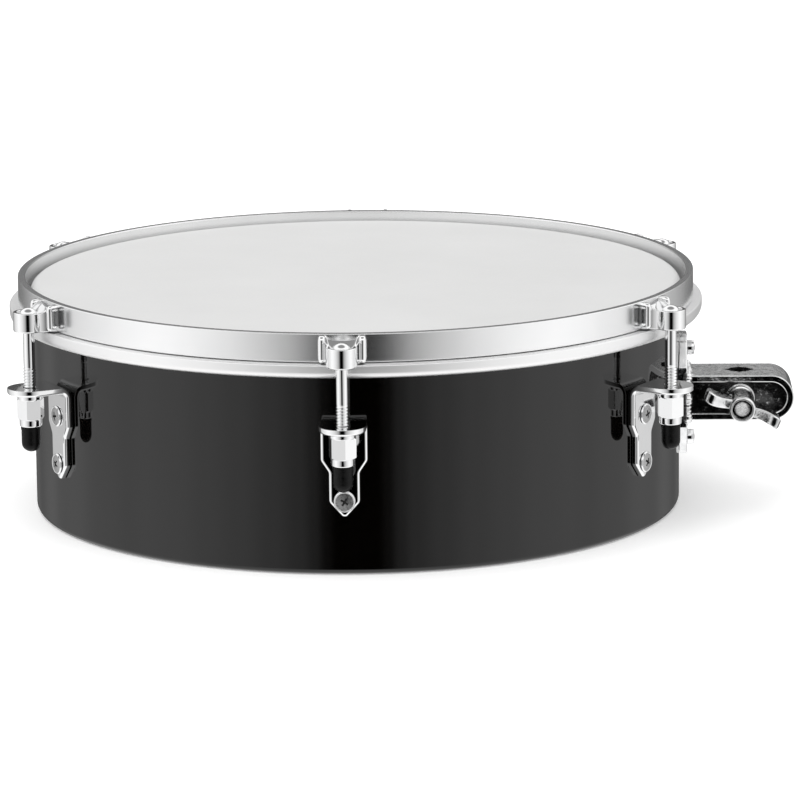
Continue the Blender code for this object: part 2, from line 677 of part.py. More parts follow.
def build_drum(axis):
    shell = place("shell", mesh_from(turned(shell_profile(), RING_SIDES), "shell"), "shell_black", axis)
    holes = []
    for turn in LUG_TURNS:
        holes += [round_axis(hole, turn) for hole in screw_holes(LUG_SCREW_HEIGHTS, BRACKET_FACE)]
    holes += [round_axis(hole, CLAMP_TURN) for hole in screw_holes(BASE_SCREW_HEIGHTS, BASE_FACE)]
    shape_with(shell, together(holes), "DIFFERENCE")
    place("drumhead", mesh_from(turned(head_profile(), RING_SIDES), "drumhead"), "head_white", axis)
    flesh_hoop = mesh_from(turned(flesh_hoop_profile(), RING_SIDES), "flesh_hoop")
    place("flesh_hoop", flesh_hoop, "hoop_bright", axis)
    hoop = mesh_from(turned(hoop_profile(), RING_SIDES), "counter_hoop")
    counter_hoop = place("counter_hoop", hoop, "chrome", axis)
    ear = ear_mesh()
    ears = []
    for turn in LUG_TURNS:
        copy = bmesh.new()
        copy.from_mesh(ear)
        ears.append(round_axis(copy, turn))
    shape_with(counter_hoop, together(ears), "UNION")


def build_lugs(axis):
    bracket = bracket_mesh()
    screw = screw_mesh("lug_screw", SCREW_HEAD_RADIUS, SCREW_HEAD_EDGE, SCREW_HEAD_HEIGHT, BRACKET_FACE)
    inner_nut = inner_nut_mesh()
    rod = rod_mesh()
    nut = tension_nut_mesh()
    cap = cap_mesh()
    for number, turn in enumerate(LUG_TURNS, 1):
        lug = empty(f"lug_{number}", turn=turn, parent=axis)
        place(f"lug_bracket_{number}", bracket, "chrome", lug)
        for where, height in zip(("upper", "lower"), LUG_SCREW_HEIGHTS):
            face = (0, -BRACKET_FACE, height)
            seat = (0, -INNER_SEAT, height)
            place(f"lug_screw_{where}_{number}", screw, "chrome", lug, face, OUTWARDS)
            place(f"screw_nut_{where}_{number}", inner_nut, "zinc_steel", lug, seat, OUTWARDS)
        place(f"tension_rod_{number}", rod, "chrome", lug, (0, -ROD_CIRCLE, RECESS_FLOOR))
        place(f"tension_nut_{number}", nut, "chrome", lug, (0, -ROD_CIRCLE, NUT_TOP))
        place(f"rubber_cap_{number}", cap, "cap_rubber", lug, (0, -ROD_CIRCLE, CAP_TOP))


def build_clamp(axis):
    bracket = place("clamp_bracket", mesh_from(base_plate(), "clamp_bracket"), "chrome", axis)
    shape_with(bracket, strap(), "UNION")
    shape_with(bracket, web(), "UNION")
    shape_with(bracket, together([root_flare(1), root_flare(-1)]), "UNION")
    shape_with(bracket, cylinder(BRACKET_BACK, 0, SHELL_HEIGHT, RING_SIDES), "DIFFERENCE")
    holes = [round_axis(hole, CLAMP_TURN) for hole in screw_holes(BASE_SCREW_HEIGHTS, BASE_FACE)]
    shape_with(bracket, together([rod_hole(), bolt_hole()] + holes), "DIFFERENCE")
    side = empty("clamp_side", turn=CLAMP_TURN, parent=axis)
    head = (BASE_SCREW_HEAD_RADIUS, BASE_SCREW_HEAD_EDGE, BASE_SCREW_HEAD_HEIGHT)
    screw = screw_mesh("clamp_screw", *head, BASE_FACE)
    inner_nut = inner_nut_mesh()
    for where, height in zip(("upper", "lower"), BASE_SCREW_HEIGHTS):
        face = (0, -BASE_FACE, height)
        seat = (0, -INNER_SEAT, height)
        place(f"clamp_screw_{where}", screw, "chrome", side, face, OUTWARDS)
        place(f"clamp_nut_{where}", inner_nut, "zinc_steel", side, seat, OUTWARDS)
    bolt = empty("bolt_axis", (ROD_HOLE_CENTRE, 0, CLAMP_HEIGHT), parent=axis)
    place("eye_bolt", eye_bolt_mesh(), "chrome", bolt)
    place("clamp_washer", washer_mesh(), "chrome", bolt, (0, -WASHER_BACK, 0), OUTWARDS)
    place("wing_nut", wing_nut_mesh(), "chrome", bolt, (0, -HUB_BACK, 0), OUTWARDS)


def main():
    for old in list(bpy.data.objects):
        bpy.data.objects.remove(old)
    axis = empty("drum_axis", (AXIS_SHIFT, 0, 0))
    build_drum(axis)
    build_lugs(axis)
    build_clamp(axis)


main()
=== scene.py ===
"""Looks of the hand bale drum: detailed pieces, finishes, studio and camera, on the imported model.

Metres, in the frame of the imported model. The pieces of a lug are made once, facing -Y from the
drum's axis, and then placed round it. A point of such a piece is (across, -reach, height).
"""

import json
from math import atan2, cos, pi, radians, sin, tan

import bmesh
import bpy
from mathutils import Matrix, Vector

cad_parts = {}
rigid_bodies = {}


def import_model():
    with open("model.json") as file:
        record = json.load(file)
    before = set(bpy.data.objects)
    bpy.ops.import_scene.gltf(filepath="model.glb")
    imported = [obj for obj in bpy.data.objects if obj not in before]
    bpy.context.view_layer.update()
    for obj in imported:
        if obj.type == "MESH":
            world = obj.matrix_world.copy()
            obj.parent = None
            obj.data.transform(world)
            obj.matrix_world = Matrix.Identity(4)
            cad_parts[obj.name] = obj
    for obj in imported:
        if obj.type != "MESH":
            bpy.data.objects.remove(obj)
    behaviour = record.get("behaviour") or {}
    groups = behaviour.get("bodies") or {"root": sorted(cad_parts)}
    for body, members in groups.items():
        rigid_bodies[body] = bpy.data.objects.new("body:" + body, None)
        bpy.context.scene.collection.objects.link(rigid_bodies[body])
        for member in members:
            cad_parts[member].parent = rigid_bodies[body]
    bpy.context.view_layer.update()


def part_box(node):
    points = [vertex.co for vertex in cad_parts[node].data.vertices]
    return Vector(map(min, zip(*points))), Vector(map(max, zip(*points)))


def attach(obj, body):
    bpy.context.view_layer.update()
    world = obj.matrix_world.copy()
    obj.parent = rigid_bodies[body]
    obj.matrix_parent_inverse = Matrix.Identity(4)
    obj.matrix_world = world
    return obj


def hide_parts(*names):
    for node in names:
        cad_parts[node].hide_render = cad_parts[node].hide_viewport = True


for old in list(bpy.data.objects):
    bpy.data.objects.remove(old)
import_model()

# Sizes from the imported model
SHELL_LOW, SHELL_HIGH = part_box("shell")
AXIS_X = (SHELL_LOW.x + SHELL_HIGH.x) / 2
SHELL_RADIUS = (SHELL_HIGH.x - SHELL_LOW.x) / 2
SHELL_HEIGHT = SHELL_HIGH.z
HEAD_LOW, HEAD_TOP = (corner.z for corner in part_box("drumhead"))
FLESH_LOW, FLESH_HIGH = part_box("flesh_hoop")
FLESH_OUTER = (FLESH_HIGH.x - FLESH_LOW.x) / 2
HOOP_BOTTOM, HOOP_TOP = (corner.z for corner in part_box("counter_hoop"))
ROD_LOW, ROD_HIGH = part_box("tension_rod_1")
ROD_CIRCLE = -(ROD_LOW.y + ROD_HIGH.y) / 2
TIP_HEIGHT, SHELF_TOP = (corner.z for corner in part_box("lug_bracket_1"))
NUT_BOTTOM, NUT_TOP = (corner.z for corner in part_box("tension_nut_1"))
CAP_BOTTOM, CAP_TOP = (corner.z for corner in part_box("rubber_cap_1"))
CLAMP_LOW, CLAMP_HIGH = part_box("clamp_bracket")
NOSE_REACH = CLAMP_HIGH.x - AXIS_X
EYE_LOW, EYE_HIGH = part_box("eye_bolt")
WASHER_LOW, WASHER_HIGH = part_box("clamp_washer")
WINGS_LOW, WINGS_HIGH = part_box("wing_nut")

# Shell, head and hoops
SHELL_WALL = 0.0015
TOP_CURL = 0.0036
FOOT_CURL = 0.0030
FOOT_LIP = 0.0016
HEAD_THICKNESS = 0.0005
SEAT_GAP = 0.0003
FLESH_INNER = SHELL_RADIUS + 0.0011
HOOP_OUTER = FLESH_OUTER - 0.0045
HOOP_INNER = HOOP_OUTER - 0.0040
RING_SIDES = 240

# Ears and rods
BOSS_RADIUS = 0.0075
BOSS_TOP = HOOP_BOTTOM + 0.0098
RECESS_RADIUS = 0.0056
RECESS_FLOOR = BOSS_TOP - 0.0030
RIB_MIDDLE = 0.0097
RIB_WIDTH = 0.0036
RIB_DEPTH = 0.0052
RIB_SINK = 0.0011
EAR_BOTTOM = HOOP_BOTTOM + 0.0002
WEB_THICKNESS = 0.0024
WEB_END_THICKNESS = 0.0016
ROD_RADIUS = 0.0029
ROD_HEAD_RADIUS = 0.0046
ROD_HEAD_EDGE = RECESS_FLOOR + 0.0016
ROD_HEAD_TOP = BOSS_TOP + 0.0020
THREAD_TOP = SHELF_TOP + 0.0105
THREAD_PITCH = 0.0015
THREAD_CREST = 0.00318
THREAD_ROOT = 0.00248

# Lug brackets
STRIP = 0.0032
BRACKET_BACK = SHELL_RADIUS + SEAT_GAP
BRACKET_FACE = BRACKET_BACK + STRIP
BEND_RADIUS = 0.0024
BEND_HEIGHT = SHELF_TOP - STRIP - BEND_RADIUS
BEND_MIDDLE = BEND_RADIUS + STRIP / 2
BEND_LENGTH = BEND_MIDDLE * pi / 2
SHELF_HALF_WIDTH = 0.01135
TAIL_HALF_WIDTH = 0.0075
POINT_HEIGHT = TIP_HEIGHT + 0.0071
WAIST_LOW = 0.0513
WAIST_HIGH = 0.0572
ROLL_WIDTH = 0.00150
ROLL_DEPTH = 0.00135
SHELF_HOLE = 0.0034
STRIP_HOLE = 0.0027

# Screws and the nuts inside the shell
LUG_SCREW_HEIGHTS = (0.0615, 0.0372)
LUG_SCREW_TURNS = (12, 58)
SCREW_SHANK_RADIUS = 0.0024
INNER_SEAT = -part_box("screw_nut_upper_1")[0].y
INNER_NUT_FLATS = 0.0080
INNER_NUT_CORNER = INNER_NUT_FLATS / 2 / cos(pi / 6)
INNER_NUT_HEIGHT = 0.0038
SCREW_PAST_NUT = 0.0012

# Tension nut and cap
NUT_FLATS = 0.0120
NUT_CORNER = NUT_FLATS / 2 / cos(pi / 6)
NUT_BORE = 0.0032
NUT_TOP_COLLAR, NUT_TOP_RADIUS = 0.0020, 0.0064
NUT_LOW_COLLAR, NUT_LOW_RADIUS = 0.0035, 0.0056
NUT_TURNS = {1: 13.0, 2: 4.0, 6: -9.0}
OTHER_NUT_TURN = 15.0
CAP_RADIUS = 0.00485
CAP_BORE = 0.0034

# Rod clamp
CLAMP_HEIGHT = (EYE_LOW.z + EYE_HIGH.z) / 2
BOLT_X = (EYE_LOW.x + EYE_HIGH.x) / 2
BOLT_REACH = BOLT_X - AXIS_X
STRAP_HEIGHT = 0.0233
STRAP_THICKNESS = 0.0037
STRAP_HALF_WIDTH = 0.0155
BASE_FACE = SHELL_RADIUS + 0.0039
STRAP_ROOT = BASE_FACE - 0.0018
BASE_TIP = 0.0311
BASE_SCREW_SPREAD = 0.0233
WEB_BACK, WEB_FRONT = 0.0125, 0.0147
FLARE_RADIUS = 0.0042
ROD_HOLE_LONG = 0.0080
ROD_HOLE_SHORT = 0.0067
ROD_HOLE_MIDDLE = 0.0058
WELD_STEP = 0.0004
WELD_SIDES = 12
EYE_BORE, EYE_RADIUS, EYE_HALF = 0.0058, 0.0096, 0.0035
BOLT_RADIUS = 0.0039
BOLT_HOLE = 0.0042
BOLT_DOME = 0.0022
CUT_END_DEPTH = 0.0021
HUB_LENGTH = 0.0282
HUB_RADIUS = 0.00675
HUB_FOOT, HUB_MOUTH = 0.0069, 0.0051
WING_HALF_SPAN = (WINGS_HIGH.x - WINGS_LOW.x) / 2
WINGS_TURN = radians(-23.0)

LUG_COUNT = 6
TO_FACE = Matrix.Rotation(pi / 2, 4, "X")


# Helpers


def lug_angle(number):
    return 2 * pi * (number - 1) / LUG_COUNT


def lug_place(number):
    """Where the pieces of this lug go: round the drum's axis. Lug 1 is at the front."""
    return Matrix.Translation((AXIS_X, 0, 0)) @ Matrix.Rotation(lug_angle(number), 4, "Z")


CLAMP_PLACE = Matrix.Translation((AXIS_X, 0, 0)) @ Matrix.Rotation(pi / 2, 4, "Z")


def mesh_from(bm, name, sharp=38.0):
    """Closes the bmesh into a mesh whose faces point out, smooth but for its sharp edges."""
    bmesh.ops.recalc_face_normals(bm, faces=bm.faces)
    mesh = bpy.data.meshes.new(name)
    bm.to_mesh(mesh)
    bm.free()
    mesh.shade_smooth()
    mesh.set_sharp_from_angle(angle=radians(sharp))
    return mesh


def linked(name, data):
    """A new object in the scene."""
    obj = bpy.data.objects.new(name, data)
    bpy.context.scene.collection.objects.link(obj)
    return obj


def add(name, mesh, material, place, body, node):
    """Adds a piece with its material, rides it on a body and hides the node it stands for."""
    obj = linked(name, mesh)
    if not mesh.materials:
        mesh.materials.append(material)
    obj.matrix_world = place
    flats = obj.modifiers.new("flats", "WEIGHTED_NORMAL")
    flats.keep_sharp = True
    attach(obj, body)
    if node:
        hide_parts(node)


def shares(steps):
    return [step / steps for step in range(steps + 1)]


def between(first, last, share):
    return first + (last - first) * share


def smooth(share):
    return share * share * (3 - 2 * share)


def on_circle(radius, turn, height):
    return radius * cos(turn), radius * sin(turn), height


def arc(centre, radius, start, end, steps):
    """Points on an arc that runs between two angles in degrees."""
    angles = [radians(between(start, end, share)) for share in shares(steps)]
    return [(centre[0] + radius * cos(angle), centre[1] + radius * sin(angle)) for angle in angles]


def rounded(corners, steps=4, closed=True):
    """Points along corners of (x, y, radius), each corner rounded with an arc."""
    points = []
    last = len(corners) - 1
    for index, (x, y, radius) in enumerate(corners):
        if radius <= 0 or (not closed and index in (0, last)):
            points.append((x, y))
            continue
        here = Vector((x, y))
        back = (Vector(corners[index - 1][:2]) - here).normalized()
        on = (Vector(corners[(index + 1) % len(corners)][:2]) - here).normalized()
        half = back.angle(on) / 2
        centre = here + (back + on).normalized() * radius / sin(half)
        first = here + back * radius / tan(half) - centre
        final = here + on * radius / tan(half) - centre
        start = atan2(first.y, first.x)
        sweep = atan2(first.x * final.y - first.y * final.x, first.dot(final))
        for share in shares(steps):
            angle = start + sweep * share
            points.append((centre.x + radius * cos(angle), centre.y + radius * sin(angle)))
    return points


def bridge(bm, ring, following):
    """Faces between two rings of points. A ring of one point makes a fan."""
    sides = max(len(ring), len(following))
    for side in range(sides):
        after = (side + 1) % sides
        if len(ring) == 1:
            bm.faces.new((ring[0], following[after], following[side]))
        elif len(following) == 1:
            bm.faces.new((ring[side], ring[after], following[0]))
        else:
            bm.faces.new((ring[side], ring[after], following[after], following[side]))


def lathe(profile, sides=48):
    """A profile of (radius, height) points turned round Z: a closed loop, or from axis to axis."""
    bm = bmesh.new()
    turns = [2 * pi * side / sides for side in range(sides)]
    rings = []
    for radius, height in profile:
        if radius < 1e-7:
            rings.append([bm.verts.new((0, 0, height))])
            continue
        rings.append([bm.verts.new(on_circle(radius, turn, height)) for turn in turns])
    pairs = list(zip(rings, rings[1:]))
    if len(rings[0]) > 1:
        pairs.append((rings[-1], rings[0]))
    for ring, following in pairs:
        bridge(bm, ring, following)
    return bm


def slab(outline, low, high, round_low=0.0, round_high=0.0):
    """An outline extruded along Z, with its lower and upper edges rounded."""
    bm = bmesh.new()
    bottom = bm.faces.new([bm.verts.new((x, y, low)) for x, y in outline])
    grown = bmesh.ops.extrude_face_region(bm, geom=[bottom])
    top = [item for item in grown["geom"] if isinstance(item, bmesh.types.BMVert)]
    bmesh.ops.translate(bm, verts=top, vec=(0, 0, high - low))
    bmesh.ops.recalc_face_normals(bm, faces=bm.faces)
    for height, offset in ((low, round_low), (high, round_high)):
        if offset <= 0:
            continue
        edges = [edge for edge in bm.edges if all(abs(v.co.z - height) < 1e-7 for v in edge.verts)]
        bmesh.ops.bevel(
            bm, geom=edges, offset=offset, segments=3, profile=0.5, affect="EDGES", clamp_overlap=True
        )
    return bm


def moved(bm, matrix):
    bmesh.ops.transform(bm, matrix=matrix, verts=bm.verts)
    return bm


def shifted(bm, x=0.0, y=0.0, z=0.0):
    return moved(bm, Matrix.Translation((x, y, z)))


def loft(rings):
    """A closed body through rings of points, all with the same count."""
    bm = bmesh.new()
    made = [[bm.verts.new(point) for point in ring] for ring in rings]
    for ring, following in zip(made, made[1:]):
        bridge(bm, ring, following)
    bm.faces.new(made[0])
    bm.faces.new(made[-1][::-1])
    return bm


def polygon(radius, sides):
    return arc((0.0, 0.0), radius, 0, 360, sides)[:-1]


def boolean(mesh, others, operation):
    """The mesh with the other bmeshes joined to it or cut from it."""
    obj = linked("work", mesh)
    helpers = []
    for other in others:
        helper = linked("tool", mesh_from(other, "tool"))
        helpers.append(helper)
        modifier = obj.modifiers.new("tool", "BOOLEAN")
        modifier.operation = operation
        modifier.solver = "EXACT"
        modifier.object = helper
    bpy.context.view_layer.update()
    made = bpy.data.meshes.new_from_object(obj.evaluated_get(bpy.context.evaluated_depsgraph_get()))
    for used in helpers + [obj]:
        bpy.data.objects.remove(used)
    made.name = mesh.name
    made.materials.clear()
    made.shade_smooth()
    made.set_sharp_from_angle(angle=radians(38))
    return made


def joined(mesh, *others):
    return boolean(mesh, others, "UNION")


def cut(mesh, *others):
    return boolean(mesh, others, "DIFFERENCE")


def paint(mesh, materials, choose):
    """Gives each face the material whose number is chosen by its centre and its normal."""
    for material in materials:
        mesh.materials.append(material)
    for face in mesh.polygons:
        face.material_index = choose(face.center, face.normal)
    return mesh


# Finishes


class Nodes:
    """A node tree, with short calls for adding nodes and links to it."""

    def __init__(self, tree):
        self.tree = tree

    def node(self, kind, **settings):
        made = self.tree.nodes.new(kind)
        for name, value in settings.items():
            setattr(made, name, value)
        return made

    def link(self, output, target):
        self.tree.links.new(output, target)

    def math(self, operation, *values):
        """The result of a Math node on numbers and on other nodes' outputs."""
        made = self.node("ShaderNodeMath", operation=operation)
        for value, target in zip(values, made.inputs):
            if isinstance(value, (int, float)):
                target.default_value = value
            else:
                self.link(value, target)
        return made.outputs[0]

    def separate(self, vector):
        split = self.node("ShaderNodeSeparateXYZ")
        self.link(vector, split.inputs[0])
        return split.outputs

    def smooth_step(self, value, start, end, most):
        """Rises from 0 where the value is at the start to the most where it is at the end."""
        made = self.node("ShaderNodeMapRange", interpolation_type="SMOOTHSTEP")
        self.link(value, made.inputs["Value"])
        levels = {"From Min": start, "From Max": end, "To Min": 0.0, "To Max": most}
        for name, level in levels.items():
            made.inputs[name].default_value = level
        return made.outputs[0]


def rgba(value):
    """A colour as Blender takes it, from three numbers or from one for a grey."""
    return (*value, 1.0) if isinstance(value, tuple) else (value, value, value, 1.0)


class Surface(Nodes):
    """A material's nodes, with the textures that its colour, roughness and bumps are made of."""

    def __init__(self, name):
        self.material = bpy.data.materials.new(name)
        self.material.use_nodes = True
        super().__init__(self.material.node_tree)
        self.sockets = self.tree.nodes["Principled BSDF"].inputs
        self.place = self.node("ShaderNodeTexCoord").outputs["Object"]

    def noise(self, scale, detail, roughness=0.5, place=None):
        made = self.node("ShaderNodeTexNoise")
        made.inputs["Scale"].default_value = scale
        made.inputs["Detail"].default_value = detail
        made.inputs["Roughness"].default_value = roughness
        self.link(place or self.place, made.inputs["Vector"])
        return made.outputs["Fac"]

    def cells(self, scale):
        made = self.node("ShaderNodeTexVoronoi")
        made.inputs["Scale"].default_value = scale
        self.link(self.place, made.inputs["Vector"])
        return made.outputs["Distance"]

    def lines(self, scale, detail, roughness):
        """Fine lines round the drum: noise that changes with radius and height alone."""
        x, y, z = self.separate(self.place)
        squares = self.math("ADD", self.math("MULTIPLY", x, x), self.math("MULTIPLY", y, y))
        place = self.node("ShaderNodeCombineXYZ")
        self.link(self.math("SQRT", squares), place.inputs["X"])
        self.link(z, place.inputs["Z"])
        return self.noise(scale, detail, roughness, place.outputs[0])

    def texture(self, kind, *numbers):
        """Cells or lines by their name and numbers, or noise by its numbers alone."""
        named = {"cells": self.cells, "lines": self.lines}
        return named[kind](*numbers) if kind in named else self.noise(kind, *numbers)

    def ramp(self, socket, texture, low, high, start=0.3, end=0.7):
        """Drives a socket from low to high, as the texture goes from the start to the end."""
        made = self.node("ShaderNodeValToRGB")
        for element, position, value in zip(made.color_ramp.elements, (start, end), (low, high)):
            element.position = position
            element.color = rgba(value)
        self.link(self.texture(*texture), made.inputs["Fac"])
        self.link(made.outputs["Color"], self.sockets[socket])

    def bump(self, texture, depth, target="Normal"):
        """Adds bumps to those that the socket already has."""
        made = self.node("ShaderNodeBump")
        made.inputs["Distance"].default_value = depth
        self.link(self.texture(*texture), made.inputs["Height"])
        socket = self.sockets[target]
        if socket.is_linked:
            self.link(socket.links[0].from_socket, made.inputs["Normal"])
        self.link(made.outputs["Normal"], socket)


def finish(name, base, rough, tint, haze=None, bumps=(), metallic=1.0, **sockets):
    """A material with its plain colour and roughness, and the textures that play round them.

    Tint and haze are (texture, low, high) for the colour and the roughness. Each bump is
    (texture, depth). A texture is what Surface.texture takes, and a grey is one number.
    Other sockets of the shader are given by name.
    """
    surface = Surface(name)
    sockets.update(Base_Color=rgba(base), Roughness=rough, Metallic=metallic)
    for socket, value in sockets.items():
        surface.sockets[socket.replace("_", " ")].default_value = value
    surface.ramp("Base Color", *tint)
    if haze:
        surface.ramp("Roughness", *haze)
    for bump in bumps:
        surface.bump(*bump)
    return surface.material


CAST_PITS = (("cells", 1400), 0.000004)
CAST_WAVES = (((230, 3, 0.6), 0.00024), ((520, 2), 0.00004))
CHROME_TINT = ((0.885, 0.888, 0.892), (0.91, 0.91, 0.912))

# Thick chrome plate: a mirror with a faint wave from the polishing and a little haze
CHROME = finish(
    "chrome_plate", (0.86, 0.865, 0.87), 0.05,
    tint=((90, 3), *CHROME_TINT),
    haze=((240, 4, 0.6), 0.03, 0.09),
    bumps=(((110, 1), 0.000025), ((900, 2), 0.0000012)),
)

# The hoop's chrome, polished along its length: softer than the plate, with fine lines round it
BAND_CHROME = finish(
    "band_chrome", (0.90, 0.90, 0.905), 0.15,
    tint=((70, 3), *CHROME_TINT),
    haze=(("lines", 2200, 3, 0.7), 0.19, 0.25),
    bumps=(((110, 1), 0.000020), (("lines", 2200, 3, 0.7), 0.0000012)),
)

# Chrome on rougher castings, with more wave and small pits
CAST_CHROME = finish(
    "cast_chrome", (0.84, 0.845, 0.85), 0.08,
    tint=((160, 4), (0.72, 0.725, 0.73), 0.92),
    haze=((380, 4, 0.6), 0.05, 0.17),
    bumps=(*CAST_WAVES, CAST_PITS),
)

# The upper face of the strap, where the casting's skin leaves the plate dull
DULL_CAST = finish(
    "dull_cast", (0.84, 0.845, 0.85), 0.28,
    tint=((160, 4), (0.76, 0.765, 0.77), 0.92),
    haze=((380, 4, 0.6), 0.22, 0.34),
    bumps=(((230, 3, 0.6), 0.00005), CAST_PITS),
)

# The web inside the strap: a thin plate painted dark as the shade inside the strap, with bright flecks
WEB_SHADE = finish(
    "web_painted_shade", 0.12, 0.20,
    tint=((420, 5, 0.75), 0.08, 0.85, 0.56, 0.66),
    haze=((380, 4, 0.6), 0.12, 0.26),
    bumps=CAST_WAVES,
)

# The flesh hoop's bright metal, with fine lines round it
BRIGHT_HOOP = finish(
    "bright_hoop", 0.97, 0.42,
    tint=((60, 3), 0.97, 0.99),
    haze=(("lines", 2600, 3, 0.7), 0.40, 0.50),
    bumps=((("lines", 2600, 3, 0.7), 0.000004), ((130, 1), 0.00003)),
)

# Black gloss lacquer: a dark coat under a hard clear one, each with a faint orange peel
LACQUER = finish(
    "black_lacquer", (0.001, 0.0008, 0.0007), 0.35, metallic=0.0,
    Coat_Weight=1.0, Coat_Roughness=0.025, Coat_IOR=1.52, Specular_IOR_Level=0.0,
    tint=((700, 5, 0.7), (0.0005, 0.0004, 0.0003), (0.0016, 0.0012, 0.0010)),
    haze=((300, 3), 0.22, 0.40),
    bumps=(((170, 2), 0.000006), ((150, 2), 0.000007, "Coat Normal")),
)

# The head's coated white film: fine matt grain with a faint cloud in it
FILM = finish(
    "coated_film", (0.66, 0.66, 0.658), 0.5, metallic=0.0, Specular_IOR_Level=0.3,
    tint=((14, 4, 0.6), (0.635, 0.635, 0.632), (0.665, 0.665, 0.662)),
    haze=((900, 4, 0.7), 0.42, 0.62),
    bumps=(((2200, 3, 0.7), 0.00002), (("cells", 1500), 0.000006)),
)

# Black rubber of the caps, half matt
RUBBER = finish(
    "black_rubber", 0.003, 0.30, metallic=0.0, Specular_IOR_Level=0.15,
    tint=((500, 4), 0.0015, 0.005),
    haze=((800, 3), 0.24, 0.36),
    bumps=(((1500, 3), 0.000015),),
)

# Zinc plate on the nuts inside the shell: dull, with a pale bloom in patches
ZINC = finish(
    "zinc_plate", (0.62, 0.62, 0.60), 0.32,
    tint=(("cells", 700), (0.52, 0.53, 0.53), (0.70, 0.70, 0.67)),
    haze=((500, 4, 0.7), 0.22, 0.45),
    bumps=(((1200, 3), 0.00001),),
)

# The sunk face of a screw head: greyer, with the lathe's grain
SCREW_FACE = finish(
    "screw_face", 0.52, 0.28,
    tint=((1500, 4, 0.8), 0.40, 0.64),
    haze=((900, 4), 0.22, 0.42),
    bumps=(((1800, 4, 0.8), 0.00004),),
)

# The struck cross of a screw: dull, and painted dark as the shade in its recess
SCREW_CROSS_SHADE = finish(
    "screw_cross_painted_shade", 0.05, 0.55, metallic=0.6,
    tint=((1500, 3), 0.03, 0.09),
    bumps=(((2500, 3), 0.00003),),
)

# The sawn end of the clamp's bolt, mottled
CUT_END = finish(
    "cut_end", 0.92, 0.30,
    tint=((900, 5, 0.8), 0.80, 0.98),
    haze=((700, 4), 0.18, 0.40),
    bumps=(((700, 4, 0.8), 0.0007),),
)

# The pressed walls of the strap's rod hole: dull, and painted dark as the shade inside the hole
HOLE_WALL_SHADE = finish(
    "hole_wall_painted_shade", 0.05, 0.40,
    tint=((900, 4), 0.02, 0.10),
    haze=((700, 3), 0.30, 0.50),
    bumps=(((1500, 3), 0.00003),),
)

# The studio's floor, lit from inside a little so that it stays white
PALE_FLOOR = finish(
    "pale_floor", 0.93, 0.9, metallic=0.0,
    Specular_IOR_Level=0.0, Emission_Color=rgba(1.0), Emission_Strength=0.28,
    tint=((3, 2), 0.925, 0.935),
)


# Shell, head and hoops


def shell_mesh():
    foot = (SHELL_RADIUS - FOOT_CURL, FOOT_CURL)
    top = (SHELL_RADIUS - TOP_CURL, SHELL_HEIGHT - TOP_CURL)
    lip = foot[0] - FOOT_LIP
    wall = SHELL_WALL
    profile = [(lip, 0.0)]
    profile += arc(foot, FOOT_CURL, -90, 0, 8)
    profile += arc(top, TOP_CURL, 0, 90, 8)
    profile += arc(top, TOP_CURL - wall, 90, 0, 6)
    profile += arc(foot, FOOT_CURL - wall, 0, -90, 5)
    profile += [(lip, wall)]
    return mesh_from(lathe(profile, RING_SIDES), "shell_visual")


def head_mesh():
    """The film, bent down over the shell's edge, with a low crown at its rim."""
    top = (SHELL_RADIUS - TOP_CURL, SHELL_HEIGHT - TOP_CURL)
    inner = TOP_CURL + SEAT_GAP
    outer = inner + HEAD_THICKNESS
    radii = [0.0, 0.03, 0.06, 0.09, 0.12, 0.14, 0.152, 0.158]
    profile = [(radius, HEAD_TOP) for radius in radii]
    profile += arc(top, outer, 90, 0, 8)
    profile += [(top[0] + outer, HEAD_LOW), (top[0] + inner, HEAD_LOW)]
    profile += arc(top, inner, 0, 90, 8)
    profile += [(radius, HEAD_TOP - HEAD_THICKNESS) for radius in radii[::-1]]
    return mesh_from(lathe(profile, RING_SIDES), "head_visual")


def flesh_hoop_mesh():
    low, high = FLESH_LOW.z, FLESH_HIGH.z
    corners = [
        (FLESH_INNER, low, 0.0004),
        (FLESH_OUTER, low, 0.0034),
        (FLESH_OUTER, high, 0.0009),
        (FLESH_INNER, high, 0.0004),
    ]
    return mesh_from(lathe(rounded(corners, 6), RING_SIDES), "flesh_hoop_visual")


def band_mesh():
    flange, shelf = FLESH_INNER + 0.0006, HOOP_BOTTOM + 0.0022
    corners = [
        (flange, HOOP_BOTTOM, 0.0003),
        (HOOP_OUTER, HOOP_BOTTOM, 0.0005),
        (HOOP_OUTER, HOOP_TOP, 0.0005),
        (HOOP_INNER, HOOP_TOP, 0.0006),
        (HOOP_INNER, shelf, 0.0008),
        (flange, shelf, 0.0004),
    ]
    return mesh_from(lathe(rounded(corners, 5), RING_SIDES), "band_visual")


# Ears


def boss():
    """The round cup for the rod's head. Its rim falls away towards the hoop."""
    corners = [
        (0.0033, HOOP_BOTTOM, 0.0),
        (BOSS_RADIUS, HOOP_BOTTOM, 0.0009),
        (BOSS_RADIUS, BOSS_TOP, 0.0005),
        (RECESS_RADIUS, BOSS_TOP, 0.0006),
        (RECESS_RADIUS - 0.0003, RECESS_FLOOR, 0.0006),
        (0.0033, RECESS_FLOOR, 0.0),
    ]
    bm = lathe(rounded(corners, 4), 64)
    for vert in bm.verts:
        if vert.co.z > RECESS_FLOOR and vert.co.y > 0.0012:
            fall = min(1.0, (vert.co.y - 0.0012) / 0.0035)
            vert.co.z -= (vert.co.z - RECESS_FLOOR + 0.0003) * smooth(fall)
    return shifted(bm, y=-ROD_CIRCLE)


